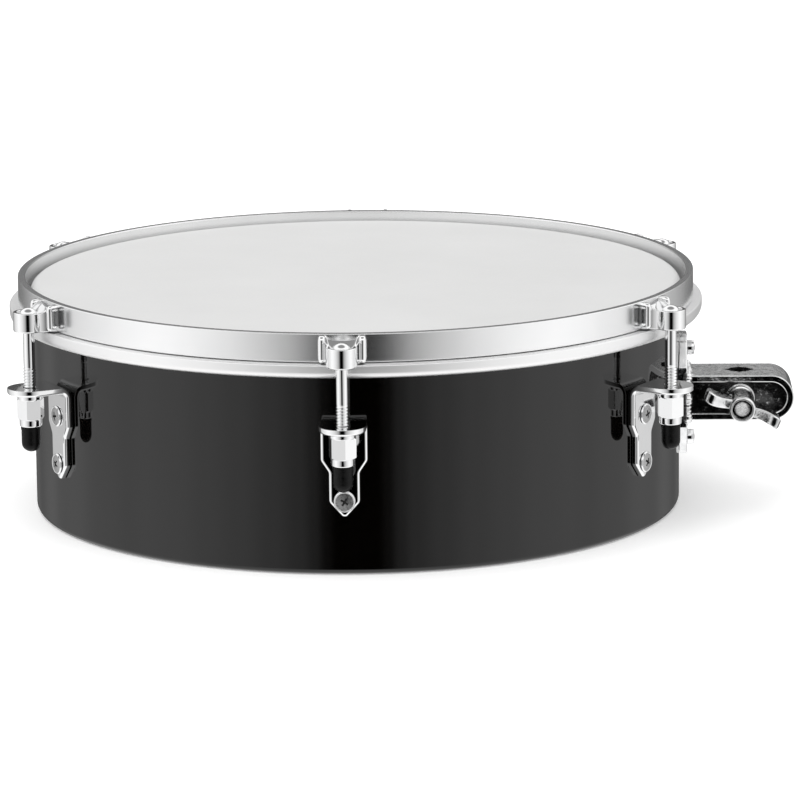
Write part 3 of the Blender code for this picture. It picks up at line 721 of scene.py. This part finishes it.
def web_wall(side):
    """A wall that runs from the hoop to the boss in a soft bend, its top sloping down."""
    rings = []
    for share in shares(16):
        ease = smooth(min(1.0, share * 1.35))
        y = -between(HOOP_OUTER - 0.001, ROD_CIRCLE + 0.0010, share)
        outer = between(RIB_MIDDLE, BOSS_RADIUS - 0.0002, ease)
        inner = outer - between(WEB_THICKNESS, WEB_END_THICKNESS, ease)
        top = between(HOOP_TOP - 0.0006, BOSS_TOP - 0.0002, ease)
        corners = [
            (outer, EAR_BOTTOM, 0.0006),
            (outer, top, 0.0006),
            (inner, top, 0.0006),
            (inner, EAR_BOTTOM, 0.0004),
        ]
        rings.append([(side * x, y, z) for x, z in rounded(corners, 3)])
    return loft(rings)


def rib(side):
    """The upright end of a web against the hoop: a round-fronted bead, sunk on its outer side."""
    low, high = HOOP_BOTTOM + 0.0003, HOOP_TOP - 0.0003
    back, front = -(HOOP_OUTER - 0.0008), -(HOOP_OUTER + RIB_DEPTH)
    rings = []
    for share in shares(22):
        z = between(low, high, share)
        near_end = min(z - low, high - z)
        full = min(1.0, near_end / 0.0026)
        swell = between(0.45, 1.0, (1 - (1 - full) ** 2) ** 0.5)
        sink = RIB_SINK * min(1.0, max(0.0, (near_end - 0.0022) / 0.0008))
        wide = RIB_WIDTH / 2 * swell
        nose = front + (1 - swell) * 0.0042 + wide
        ring = [(-wide, back)] + arc((0.0, nose), wide, 180, 360, 12)
        ring += [(wide, nose + 0.0004), (wide - sink, nose + 0.0009)]
        ring += [(wide - sink, back - 0.0022), (wide, back - 0.0016), (wide, back)]
        rings.append([(side * (RIB_MIDDLE + x), y, z) for x, y in ring])
    return loft(rings)


def ear_floor():
    """The scoop between the webs: it falls from the hoop's top to the floor round the rod's head."""
    low = HOOP_BOTTOM + 0.0003
    rings = []
    for share in shares(14):
        half = between(RIB_MIDDLE - 0.0014, RECESS_RADIUS + 0.0002, share)
        y = -between(HOOP_OUTER - 0.001, ROD_CIRCLE - RECESS_RADIUS + 0.0004, share)
        top = between(RECESS_FLOOR, HOOP_TOP - 0.0022, (1 - share) ** 1.6)
        scoop = [between(1, -1, across) for across in shares(12)]
        ring = [(half * place, y, top + 0.0011 * place ** 4) for place in scoop]
        rings.append([(half, y, low)] + ring + [(-half, y, low)])
    return loft(rings)


def ear_mesh():
    bm = bmesh.new()
    for shape in (boss(), web_wall(-1), web_wall(1), rib(-1), rib(1), ear_floor()):
        mesh = mesh_from(shape, "ear_piece")
        bm.from_mesh(mesh)
        bpy.data.meshes.remove(mesh)
    return mesh_from(bm, "ear", 42)


# Tension rods


def thread_ring(step, samples, sides):
    """One ring of the thread: its crest goes once round for each pitch, and starts shallow."""
    height = THREAD_TOP - step * THREAD_PITCH / samples
    depth = min(1.0, step / samples / 1.2)
    crest = between(ROD_RADIUS, THREAD_CREST, depth)
    root = between(ROD_RADIUS, THREAD_ROOT, depth)
    ring = []
    for side in range(sides):
        phase = (step / samples + side / sides) % 1.0
        wave = 1 - abs(2 * phase - 1)
        ring.append((between(root, crest, min(1.0, wave * 1.25)), height))
    return ring


def rod_mesh():
    """Origin on the rod's axis at height 0. A domed head, a plain shank and a rolled thread."""
    sides, samples = 28, 8
    end = ROD_LOW.z
    turns = int((THREAD_TOP - end) / THREAD_PITCH)
    profile = []
    for x, y in arc((0.0, 0.0), 1.0, 72, 0, 4):
        profile.append((ROD_HEAD_RADIUS * x, between(ROD_HEAD_EDGE, ROD_HEAD_TOP, y)))
    profile += [
        (ROD_HEAD_RADIUS, RECESS_FLOOR + 0.0005),
        (ROD_HEAD_RADIUS - 0.0003, RECESS_FLOOR + SEAT_GAP),
        (ROD_RADIUS, RECESS_FLOOR + SEAT_GAP - 0.00001),
        (ROD_RADIUS, THREAD_TOP + 0.0012),
    ]
    rings = [[point] * sides for point in profile]
    rings += [thread_ring(step, samples, sides) for step in range(turns * samples)]
    rings += [[(THREAD_ROOT, end + 0.0006)] * sides, [(THREAD_ROOT - 0.0006, end)] * sides]
    bm = bmesh.new()
    made = [[bm.verts.new((0, 0, ROD_HEAD_TOP))]]
    for ring in rings:
        points = [on_circle(radius, 2 * pi * side / sides, z) for side, (radius, z) in enumerate(ring)]
        made.append([bm.verts.new(point) for point in points])
    for ring, following in zip(made, made[1:]):
        bridge(bm, ring, following)
    bm.faces.new(made[-1])
    return mesh_from(bm, "rod_visual", 50)


# Lug brackets


def bent(bm):
    """Folds the flat bracket: below 0 it hangs down the shell, past the bend it is the shelf."""
    bend_reach = BRACKET_FACE + BEND_RADIUS
    for vert in bm.verts:
        across, along, depth = vert.co
        if along < 0:
            vert.co = (across, -(BRACKET_BACK + depth), BEND_HEIGHT + along)
        elif along < BEND_LENGTH:
            angle = along / BEND_MIDDLE
            radius = BEND_RADIUS + STRIP - depth
            vert.co = (across, -(bend_reach - radius * cos(angle)), BEND_HEIGHT + radius * sin(angle))
        else:
            vert.co = (across, -(bend_reach + along - BEND_LENGTH), SHELF_TOP - depth)
    return bm


def pulled_in(outline, inset):
    """An outline moved inward, square to its edges."""
    points = [Vector(point) for point in outline]
    ahead = [(after - here).normalized() for here, after in zip(points, points[1:] + points[:1])]
    turned_left = [Vector((-way.y, way.x)) for way in ahead]
    area = sum(here.cross(after) for here, after in zip(points, points[1:] + points[:1]))
    side = 1 if area > 0 else -1
    moved_in = []
    for point, before, after in zip(points, turned_left[-1:] + turned_left[:-1], turned_left):
        middle = (before + after).normalized()
        place = point + middle * side * inset / middle.dot(after)
        moved_in.append((place.x, place.y))
    return moved_in


def bracket_mesh():
    """A pointed plate whose front edges are well rounded, folded out at the top into a shelf."""
    rod_along = BEND_LENGTH + ROD_CIRCLE - BRACKET_FACE - BEND_RADIUS
    tip = TIP_HEIGHT - BEND_HEIGHT - 0.0001
    half = [
        (0.0, tip, 0.0),
        (0.0010, tip, 0.0016),
        (TAIL_HALF_WIDTH, POINT_HEIGHT - BEND_HEIGHT, 0.0030),
        (TAIL_HALF_WIDTH, WAIST_LOW - BEND_HEIGHT, 0.0030),
        (SHELF_HALF_WIDTH, WAIST_HIGH - BEND_HEIGHT, 0.0030),
        (SHELF_HALF_WIDTH, rod_along, 0.0),
    ]
    side = rounded(half, 4, closed=False)[1:-1]
    shelf_end = arc((0.0, rod_along), SHELF_HALF_WIDTH, 0, 180, 28)
    outline = side + shelf_end + [(-x, y) for x, y in side[::-1]]
    rings = [(0.0004, 0.0), (0.0001, 0.0001), (0.0, 0.0004)]
    rings += [(ROLL_WIDTH * (1 - x), STRIP - ROLL_DEPTH * (1 - y)) for x, y in arc((0, 0), 1, 0, 90, 6)]
    bm = loft([[(x, y, height) for x, y in pulled_in(outline, inset)] for inset, height in rings])
    for share in shares(8):
        geometry = list(bm.verts) + list(bm.edges) + list(bm.faces)
        place = (0, BEND_LENGTH * share, 0)
        bmesh.ops.bisect_plane(bm, geom=geometry, plane_co=place, plane_no=(0, 1, 0), dist=1e-7)
    tools = [shifted(slab(polygon(SHELF_HOLE, 32), 0.05, 0.10), y=-ROD_CIRCLE)]
    for height in LUG_SCREW_HEIGHTS:
        hole = moved(slab(polygon(STRIP_HOLE, 24), 0.15, 0.19), TO_FACE)
        tools.append(shifted(hole, z=height))
    return cut(mesh_from(bent(bm), "bracket_visual"), *tools)


# Screws and the nuts inside the shell


def cross_cutter(reach, width, depth):
    """Two crossed wedges that leave a Phillips recess."""
    shapes = []
    for turn in (0.0, pi / 2):
        rings = []
        for height, share in ((-depth, 0.35), (0.001, 1.0)):
            x, y = reach * share, width * (0.6 + 0.4 * share)
            rings.append([(x, y, height), (-x, y, height), (-x, -y, height), (x, -y, height)])
        shapes.append(moved(loft(rings), Matrix.Rotation(turn, 4, "Z")))
    return shapes


def screw_mesh(name, radius, edge, top, seat, turn):
    """Origin at the face that it holds down, which is the seat. A rimmed head with a recess."""
    rim = radius * 0.87
    end = INNER_SEAT - seat - INNER_NUT_HEIGHT - SCREW_PAST_NUT
    corners = [
        (0.0, end, 0.0),
        (SCREW_SHANK_RADIUS, end, 0.0),
        (SCREW_SHANK_RADIUS, SEAT_GAP, 0.0),
        (radius, SEAT_GAP, 0.0002),
        (radius, edge, 0.0005),
        (rim + 0.0002, top, 0.0003),
        (rim - 0.0001, top - 0.0003, 0.0001),
        (0.0, top + 0.0002, 0.0),
    ]
    mesh = mesh_from(lathe(rounded(corners, 3, closed=False), 40), name)
    cutters = [shifted(shape, z=top) for shape in cross_cutter(radius * 0.58, radius * 0.11, 0.0013)]
    mesh = cut(mesh, *[moved(shape, Matrix.Rotation(turn, 4, "Z")) for shape in cutters])

    # The cross takes the dark finish, painted shade for its recess
    def finish_at(centre, normal):
        if centre.xy.length > rim - 0.0001 or centre.z < top - 0.0014:
            return 0
        return 1 if centre.z > top - 0.0004 else 2

    return paint(mesh, (CHROME, SCREW_FACE, SCREW_CROSS_SHADE), finish_at)


def hexagon(name, corner, outline, sides):
    """A hexagonal bar as high as the outline, which is turned to cut off the corners."""
    bar = slab(polygon(corner, 6), outline[0][1], outline[-1][1])
    return boolean(mesh_from(bar, name), [lathe(outline, sides)], "INTERSECT")


def inner_nut_mesh():
    """Origin at its seat. It stands down from 0."""
    height = INNER_NUT_HEIGHT
    face, corner = INNER_NUT_FLATS / 2 - 0.0002, INNER_NUT_CORNER + 0.0002
    outline = [(0.0, -height), (face, -height), (corner, -height + 0.0009)]
    outline += [(corner, -0.0009), (face, 0.0), (0.0, 0.0)]
    nut = hexagon("nut", INNER_NUT_CORNER, outline, 48)
    return cut(nut, slab(polygon(SCREW_SHANK_RADIUS + 0.0003, 24), -2 * height, height))


# Tension nuts and caps


def collar(radius, low, high, round_low, round_high):
    corners = [(0.0, low, 0.0), (radius, low, round_low), (radius, high, round_high), (0.0, high, 0.0)]
    return lathe(rounded(corners, 4, closed=False), 48)


def tension_nut_mesh():
    """Origin on the rod's axis at its top: a thin collar, a tall chamfered hexagon, a low collar."""
    height = NUT_TOP - NUT_BOTTOM
    hex_top, hex_low = -NUT_TOP_COLLAR, NUT_LOW_COLLAR - height
    corner = NUT_CORNER + 0.0001
    outline = [(0.0, hex_low), (NUT_FLATS / 2 - 0.0004, hex_low), (corner, hex_low + 0.0011)]
    outline += [(corner, hex_top - 0.0007), (NUT_FLATS / 2, hex_top + 0.0004), (0.0, hex_top + 0.0004)]
    upper = collar(NUT_TOP_RADIUS, hex_top - 0.0006, 0.0, 0.0006, 0.0006)
    lower = collar(NUT_LOW_RADIUS, -height, hex_low + 0.001, 0.0008, 0.0)
    nut = joined(hexagon("tension_nut_visual", NUT_CORNER, outline, 60), upper, lower)
    return cut(nut, slab(polygon(NUT_BORE, 28), -2 * height, height))


def cap_mesh():
    """Origin at its open top: a soft cap with a rounded end and a thin lip."""
    length = CAP_TOP - CAP_BOTTOM + 0.0008
    radius, lip = CAP_RADIUS, CAP_RADIUS + 0.0002
    profile = [(0.0, -length)]
    profile += [(radius * x, -length + radius * 0.92 * (1 - y)) for x, y in arc((0, 0), 1, 78, 0, 6)]
    profile += [(radius, -0.0016), (lip, -0.0012), (lip, -0.0003), (radius, 0.0)]
    profile += [(CAP_BORE + 0.0002, 0.0), (CAP_BORE, -0.0004)]
    profile += [(CAP_BORE, -length + 0.003), (0.0, -length + 0.0025)]
    return mesh_from(lathe(profile, 40), "cap_visual")


# Rod clamp


def strap_line(inset):
    """The strap's path as seen from the front: out from its root, round the nose and back."""
    radius = STRAP_HEIGHT / 2 - inset
    nose = (NOSE_REACH - STRAP_HEIGHT / 2, CLAMP_HEIGHT)
    bend = arc(nose, radius, 90, -90, 40)
    return [(STRAP_ROOT, CLAMP_HEIGHT + radius)] + bend + [(STRAP_ROOT, CLAMP_HEIGHT - radius)]


def base_plate():
    """The plate against the shell, narrower above and below, where its screws are."""
    corners = [
        (STRAP_HALF_WIDTH, 0.0, 0.0),
        (STRAP_HALF_WIDTH, STRAP_HEIGHT / 2 + 0.0040, 0.0030),
        (0.0080, BASE_SCREW_SPREAD + 0.0038, 0.0030),
        (0.0070, BASE_TIP, 0.0035),
        (0.0, BASE_TIP, 0.0),
    ]
    quarter = rounded(corners, 4, closed=False)[1:]
    upper = quarter + [(-x, y) for x, y in quarter[:-1][::-1]]
    outline = upper + [(x, -y) for x, y in upper[::-1]]
    plate = slab(outline, SHELL_RADIUS - SHELL_WALL, BASE_FACE, 0.0, 0.0008)
    to_side = Matrix(((0, 0, 1, 0), (1, 0, 0, 0), (0, 1, 0, CLAMP_HEIGHT), (0, 0, 0, 1)))
    return moved(plate, to_side)


def flare(side):
    """The hollow corner between a leg of the strap and the base plate."""
    back, sunk = BASE_FACE - 0.002, -0.0018
    front = BASE_FACE + FLARE_RADIUS
    hollow = arc((front, FLARE_RADIUS), FLARE_RADIUS, -90, -180, 8)
    shape = [(back, sunk), (front, sunk)] + hollow + [(back, FLARE_RADIUS)]
    outline = [(reach, CLAMP_HEIGHT + side * (STRAP_HEIGHT / 2 + up)) for reach, up in shape]
    half = STRAP_HALF_WIDTH - 0.002
    return moved(slab(outline, -half, half, 0.0006, 0.0006), TO_FACE)


def clamp_cutters():
    """What is cut from the clamp: the drum's curve, the rod's holes and the bolt's hole."""
    drum = slab(polygon(BRACKET_BACK, RING_SIDES), 0.0, SHELL_HEIGHT)
    long, short, corner = ROD_HOLE_LONG, ROD_HOLE_SHORT, 0.0006
    diamond = [(long, 0.0, corner), (0.0, short, corner), (-long, 0.0, corner), (0.0, -short, corner)]
    diamond = slab(rounded(diamond, 3), CLAMP_LOW.z, CLAMP_HIGH.z)
    middle = slab(polygon(ROD_HOLE_MIDDLE, 40), CLAMP_LOW.z, CLAMP_HIGH.z)
    bolt = shifted(moved(slab(polygon(BOLT_HOLE, 32), 0.010, 0.018), TO_FACE), z=CLAMP_HEIGHT)
    return [drum] + [shifted(shape, BOLT_REACH) for shape in (diamond, middle, bolt)]


def clamp_finish(centre, normal):
    """The rod holes' walls and the web's front get dark finishes that paint shade on them; the strap's
    top has a dull finish of its own.
    """
    along, aside = abs(centre.x - BOLT_REACH), abs(centre.y)
    in_hole = along < ROD_HOLE_LONG + 0.0001 and aside < ROD_HOLE_SHORT + 0.0001
    # the walls of the rod holes: painted shade
    if in_hole and abs(normal.z) < 0.5:
        return 1
    if normal.z > 0.7 and centre.z > CLAMP_HEIGHT:
        return 2
    inside = abs(centre.z - CLAMP_HEIGHT) < STRAP_HEIGHT / 2
    # the web's front: painted shade
    return 3 if normal.y < -0.9 and inside and abs(centre.y + WEB_FRONT) < 0.0001 else 0


def clamp_mesh():
    """Base plate, folded strap and web in one piece, in the drum's own X and Z."""
    half = STRAP_HALF_WIDTH
    outline = strap_line(0.0) + strap_line(STRAP_THICKNESS)[::-1]
    strap = moved(slab(outline, -half, half, 0.0006, 0.0007), TO_FACE)
    web = moved(slab(strap_line(STRAP_THICKNESS / 2), WEB_BACK, WEB_FRONT), TO_FACE)
    solid = joined(mesh_from(base_plate(), "clamp_visual"), strap, web, flare(1), flare(-1))
    # The holes' walls and the web's front carry painted shade
    finishes = (CAST_CHROME, HOLE_WALL_SHADE, DULL_CAST, WEB_SHADE)
    return paint(cut(solid, *clamp_cutters()), finishes, clamp_finish)


def weld_mesh():
    """A lumpy bead of weld round the foot of the strap, where it meets the base plate."""
    x, y, corner = STRAP_HALF_WIDTH + 0.0006, STRAP_HEIGHT / 2 + 0.0006, 0.0030
    corners = [(x, -y, corner), (x, y, corner), (-x, y, corner), (-x, -y, corner)]
    path = [Vector(point) for point in rounded(corners, 8)]
    spots = []
    carried = 0.0
    for first, second in zip(path, path[1:] + path[:1]):
        way = second - first
        along = WELD_STEP - carried
        while along < way.length:
            spots.append((first + way * along / way.length, way.normalized()))
            along += WELD_STEP
        carried = (carried + way.length) % WELD_STEP
    rings = []
    for number, (spot, heading) in enumerate(spots):
        outward = Vector((heading.y, -heading.x))
        lumps = 0.00055 * abs(sin(number * 0.62)) + 0.0003 * sin(number * 0.231)
        swell = 0.00125 + lumps + 0.0002 * sin(number * 0.107 + 1.3)
        ring = []
        for out, ahead in polygon(swell, WELD_SIDES):
            place = spot + outward * out
            ring.append((place.x, -(BASE_FACE + ahead * 1.25), CLAMP_HEIGHT + place.y))
        rings.append(ring)
    bm = loft(rings + rings[:1])
    ends = [face for face in bm.faces if len(face.verts) == WELD_SIDES]
    bmesh.ops.delete(bm, geom=ends, context="FACES_ONLY")
    bmesh.ops.remove_doubles(bm, verts=list(bm.verts), dist=0.000001)
    return mesh_from(bm, "weld_visual")


def eye_bolt_mesh():
    """Origin at the eye's centre: a ring for the rod, and a shank towards -Y with a domed end."""
    bore, outer, half = EYE_BORE, EYE_RADIUS, EYE_HALF
    corners = [(bore, -half, 0.001), (outer, -half, 0.0012), (outer, half, 0.0012), (bore, half, 0.001)]
    ring = mesh_from(lathe(rounded(corners, 5), 56), "eye_bolt_visual")
    end = -EYE_LOW.y
    profile = [(0.0, 0.0075), (BOLT_RADIUS, 0.0075)]
    profile += [(BOLT_RADIUS * x, end - BOLT_DOME * (1 - y)) for x, y in arc((0, 0), 1, 0, 81, 9)]
    mesh = joined(ring, moved(lathe(profile + [(0.0, end)], 36), TO_FACE))
    return paint(mesh, (CHROME, CUT_END), lambda centre, normal: centre.y < CUT_END_DEPTH - end)


def washer_mesh():
    """Two thin rings with a groove between them, as a spring washer on a plain one."""
    thickness = WASHER_HIGH.y - WASHER_LOW.y
    rim = (WASHER_HIGH.x - WASHER_LOW.x) / 2
    middle = thickness * 0.45
    corners = [
        (BOLT_HOLE + 0.0001, 0.0, 0.0),
        (rim, 0.0, 0.0003),
        (rim, middle, 0.0003),
        (rim - 0.0009, middle, 0.0001),
        (rim - 0.0009, middle + 0.0002, 0.0001),
        (rim - 0.0003, middle + 0.0002, 0.0003),
        (rim - 0.0003, thickness, 0.0003),
        (BOLT_HOLE + 0.0001, thickness, 0.0),
    ]
    return mesh_from(lathe(rounded(corners, 3), 56), "washer_visual")


def wing(side):
    """A blade that grows out of the hub: thick at its root, bowed, with a rounded tip."""
    rings = []
    tip_start = 0.88
    for share in shares(16):
        across = between(0.0050, WING_HALF_SPAN, share)
        front = HUB_LENGTH - 0.0042 + 0.0050 * min(1.0, share * 1.5) ** 1.2
        back = HUB_LENGTH - 0.0195 + 0.0107 * share ** 1.3
        bow = 0.0011 * sin(pi * share)
        tip = max(0.0, (share - tip_start) / (1 - tip_start))
        shrink = (1 - tip * tip) ** 0.5 if tip < 1 else 0.12
        reach = (front - back) / 2 * between(0.35, 1.0, shrink)
        thick = between(0.0025, 0.0031, share) * between(0.55, 1.0, shrink)
        ring = []
        for x, y in polygon(1.0, 20):
            along = (front + back) / 2 + reach * abs(x) ** 0.22 * (1 if x > 0 else -1)
            up = thick * abs(y) ** 0.28 * (1 if y > 0 else -1)
            ring.append((side * across, side * (bow + up), along))
        rings.append(ring)
    return loft(rings)


def wing_nut_mesh():
    """Origin on the bolt's axis at its back. It is turned as the photograph shows it."""
    bore, mouth, mouth_floor = BOLT_HOLE, HUB_MOUTH, HUB_LENGTH - 0.0020
    corners = [
        (bore, 0.0, 0.0),
        (HUB_FOOT, 0.0, 0.0004),
        (HUB_FOOT, 0.0030, 0.0004),
        (HUB_RADIUS - 0.0003, 0.0042, 0.0006),
        (HUB_RADIUS, HUB_LENGTH, 0.0013),
        (mouth, HUB_LENGTH, 0.0002),
        (mouth - 0.0001, mouth_floor, 0.0002),
        (bore, mouth_floor, 0.0),
    ]
    hub = mesh_from(lathe(rounded(corners, 4), 60), "wing_nut_visual")
    past_end = HUB_LENGTH + 0.01
    bore_tool = slab(polygon(bore, 36), -0.01, past_end)
    mouth_tool = slab(polygon(mouth - 0.0001, 40), mouth_floor, past_end)
    whole = cut(joined(hub, wing(1), wing(-1)), bore_tool, mouth_tool)
    whole.transform(Matrix.Rotation(WINGS_TURN, 4, "Z"))
    return whole


# All the pieces in place


def dress_drum():
    place = lug_place(1)
    add("shell_visual", shell_mesh(), LACQUER, place, "root", "shell")
    add("head_visual", head_mesh(), FILM, place, "root", "drumhead")
    add("flesh_hoop_visual", flesh_hoop_mesh(), BRIGHT_HOOP, place, "root", "flesh_hoop")
    add("hoop_band_visual", band_mesh(), BAND_CHROME, place, "hoop", "counter_hoop")
    ear = ear_mesh()
    for number in range(1, LUG_COUNT + 1):
        add(f"ear_visual_{number}", ear, CHROME, lug_place(number), "hoop", None)


def add_screw(place, reach, height, screw, screw_names, nut, nut_names):
    """A screw at this reach and height, and its nut inside the shell. Names are (piece, node)."""
    face = place @ Matrix.Translation((0, -reach, height)) @ TO_FACE
    seat = place @ Matrix.Translation((0, -INNER_SEAT, height)) @ TO_FACE
    piece, node = screw_names
    add(piece, screw, CHROME, face, "root", node)
    piece, node = nut_names
    add(piece, nut, ZINC, seat, "root", node)


def dress_lugs():
    bracket, rod, nut, cap, inner_nut = (
        bracket_mesh(), rod_mesh(), tension_nut_mesh(), cap_mesh(), inner_nut_mesh()
    )
    screws = [
        screw_mesh(f"screw_{turn}", 0.0052, 0.0008, 0.0015, BRACKET_FACE, radians(turn))
        for turn in LUG_SCREW_TURNS
    ]
    for number in range(1, LUG_COUNT + 1):
        place = lug_place(number)
        lug = f"_visual_{number}"
        add("bracket" + lug, bracket, CHROME, place, "root", f"lug_bracket_{number}")
        for where, height, screw in zip(("upper", "lower"), LUG_SCREW_HEIGHTS, screws):
            screw_names = (f"lug_screw_{where}" + lug, f"lug_screw_{where}_{number}")
            nut_names = (f"nut_{where}" + lug, f"screw_nut_{where}_{number}")
            add_screw(place, BRACKET_FACE, height, screw, screw_names, inner_nut, nut_names)
        axis = place @ Matrix.Translation((0, -ROD_CIRCLE, 0))
        add("rod" + lug, rod, CHROME, axis, "hoop", f"tension_rod_{number}")
        heading = radians(NUT_TURNS.get(number, OTHER_NUT_TURN)) - lug_angle(number) - pi / 2
        top = axis @ Matrix.Translation((0, 0, NUT_TOP)) @ Matrix.Rotation(heading, 4, "Z")
        add("tension_nut" + lug, nut, CHROME, top, f"nut_{number}", f"tension_nut_{number}")
        open_end = axis @ Matrix.Translation((0, 0, CAP_TOP))
        add("cap" + lug, cap, RUBBER, open_end, f"nut_{number}", f"rubber_cap_{number}")


def dress_clamp():
    add("weld_visual", weld_mesh(), CAST_CHROME, CLAMP_PLACE, "root", None)
    add("clamp_visual", clamp_mesh(), CAST_CHROME, lug_place(1), "root", "clamp_bracket")
    screw = screw_mesh("base_screw", 0.0038, 0.0024, 0.0040, BASE_FACE, 0.4)
    inner_nut = inner_nut_mesh()
    for where, side in (("upper", 1), ("lower", -1)):
        height = CLAMP_HEIGHT + side * BASE_SCREW_SPREAD
        screw_names = (f"clamp_screw_visual_{where}", f"clamp_screw_{where}")
        nut_names = (f"clamp_nut_visual_{where}", f"clamp_nut_{where}")
        add_screw(CLAMP_PLACE, BASE_FACE, height, screw, screw_names, inner_nut, nut_names)
    eye = Matrix.Translation((BOLT_X, 0, CLAMP_HEIGHT))
    add("eye_bolt_visual", eye_bolt_mesh(), CHROME, eye, "eye", "eye_bolt")
    washer = Matrix.Translation((BOLT_X, WASHER_HIGH.y, CLAMP_HEIGHT)) @ TO_FACE
    add("washer_visual", washer_mesh(), CHROME, washer, "root", "clamp_washer")
    hub = Matrix.Translation((BOLT_X, WASHER_LOW.y - SEAT_GAP, CLAMP_HEIGHT)) @ TO_FACE
    add("wing_nut_visual", wing_nut_mesh(), CAST_CHROME, hub, "wings", "wing_nut")


# Studio and camera

CAMERA_TURN = radians(1.85)
CAMERA_PLACE = Vector((0.0171, -2.4531, 0.5769))
CAMERA_HEADING = 0.0020
CAMERA_DOWN = 0.2113
CAMERA_ROLL = -0.0102
LENS = 219.95

# Brightness of the walls by the angle from the camera's side, in degrees, as the chrome shows it
WALLS = (
    (0, 0.0), (7, 0.0), (11, 0.07), (15, 0.26), (20, 0.44), (30, 0.64), (42, 0.84), (54, 0.97),
    (66, 1.08), (78, 1.08), (92, 0.94), (112, 0.78), (135, 0.48), (158, 0.19), (180, 0.08),
)
# Heights here are those of a direction: 1 is straight up
WALLS_MIDDLE = -0.08
WALLS_END = (0.30, 0.62)
OUTER_LIGHT = rgba(1.12)
CEILING = (0.80, 0.94)
CEILING_LOSS = 0.75


def add_camera():
    data = bpy.data.cameras.new("camera")
    data.lens = LENS
    data.sensor_width = 36.0
    data.clip_end = 50.0
    level = Vector((sin(CAMERA_HEADING), cos(CAMERA_HEADING), 0))
    ahead = level * cos(CAMERA_DOWN) - Vector((0, 0, sin(CAMERA_DOWN)))
    right = ahead.cross(Vector((0, 0, 1))).normalized()
    up = right.cross(ahead)
    across = cos(CAMERA_ROLL) * right + sin(CAMERA_ROLL) * up
    above = cos(CAMERA_ROLL) * up - sin(CAMERA_ROLL) * right
    pose = Matrix((across, above, -ahead)).transposed().to_4x4()
    pose.translation = CAMERA_PLACE
    turn = Matrix.Translation((AXIS_X, 0, 0)) @ Matrix.Rotation(CAMERA_TURN, 4, "Z")
    camera = linked("camera", data)
    camera.matrix_world = turn @ pose
    bpy.context.scene.camera = camera


def add_studio():
    """White walls round the drum, darker behind the camera. Gloss sees a dark patch overhead."""
    world = bpy.data.worlds.new("studio")
    bpy.context.scene.world = world
    world.use_nodes = True
    sky = Nodes(world.node_tree)
    turned_to = sky.node("ShaderNodeVectorRotate", rotation_type="Z_AXIS")
    turned_to.inputs["Angle"].default_value = -CAMERA_TURN
    sky.link(sky.node("ShaderNodeTexCoord").outputs["Generated"], turned_to.inputs["Vector"])
    x, y, z = sky.separate(turned_to.outputs[0])
    angle = sky.math("ABSOLUTE", sky.math("ARCTAN2", x, sky.math("MULTIPLY", y, -1.0)))
    walls = sky.node("ShaderNodeValToRGB")
    walls.color_ramp.interpolation = "EASE"
    elements = walls.color_ramp.elements
    while len(elements) < len(WALLS):
        elements.new(0.5)
    for element, (degrees, value) in zip(elements, WALLS):
        element.position = degrees / 180
    for element, (degrees, value) in zip(elements, WALLS):
        element.color = rgba(value)
    sky.link(sky.math("DIVIDE", angle, pi), walls.inputs["Fac"])
    mix = sky.node("ShaderNodeMix", data_type="RGBA")
    height = sky.math("ABSOLUTE", sky.math("ADD", z, -WALLS_MIDDLE))
    sky.link(sky.smooth_step(height, *WALLS_END, 1.0), mix.inputs["Factor"])
    sky.link(walls.outputs["Color"], mix.inputs["A"])
    mix.inputs["B"].default_value = OUTER_LIGHT
    studio = world.node_tree.nodes["Background"]
    sky.link(mix.outputs["Result"], studio.inputs["Color"])
    path = sky.node("ShaderNodeLightPath")
    overhead = sky.smooth_step(z, *CEILING, CEILING_LOSS)
    lost = sky.math("MULTIPLY", overhead, path.outputs["Is Glossy Ray"])
    sky.link(sky.math("SUBTRACT", 1.0, lost), studio.inputs["Strength"])
    plain = sky.node("ShaderNodeBackground")
    plain.inputs["Color"].default_value = rgba(1.0)
    chosen = sky.node("ShaderNodeMixShader")
    sky.link(path.outputs["Is Camera Ray"], chosen.inputs["Fac"])
    sky.link(studio.outputs[0], chosen.inputs[1])
    sky.link(plain.outputs[0], chosen.inputs[2])
    sky.link(chosen.outputs[0], world.node_tree.nodes["World Output"].inputs["Surface"])


def add_light(name, place, size, power):
    """A square soft light that looks at the drum and shows in no gloss."""
    data = bpy.data.lights.new(name, "AREA")
    data.shape = "SQUARE"
    data.size = size
    data.energy = power
    light = linked(name, data)
    light.location = place
    towards = Vector((AXIS_X, 0, 0.08)) - Vector(place)
    light.rotation_euler = towards.to_track_quat("-Z", "Y").to_euler()
    light.visible_glossy = False


def add_floor():
    disc = lathe([(0.0, -0.002), (12.0, -0.002), (12.0, 0.0), (0.0, 0.0)], 96)
    floor = linked("floor", mesh_from(disc, "floor"))
    floor.data.materials.append(PALE_FLOOR)
    floor.location.z = -0.0002
    floor.visible_glossy = False


add_camera()
add_studio()
add_light("top_light", (-0.5, -0.6, 2.4), 1.8, 14.0)
add_floor()
bpy.context.scene.view_settings.view_transform = "Standard"
dress_drum()
dress_lugs()
dress_clamp()
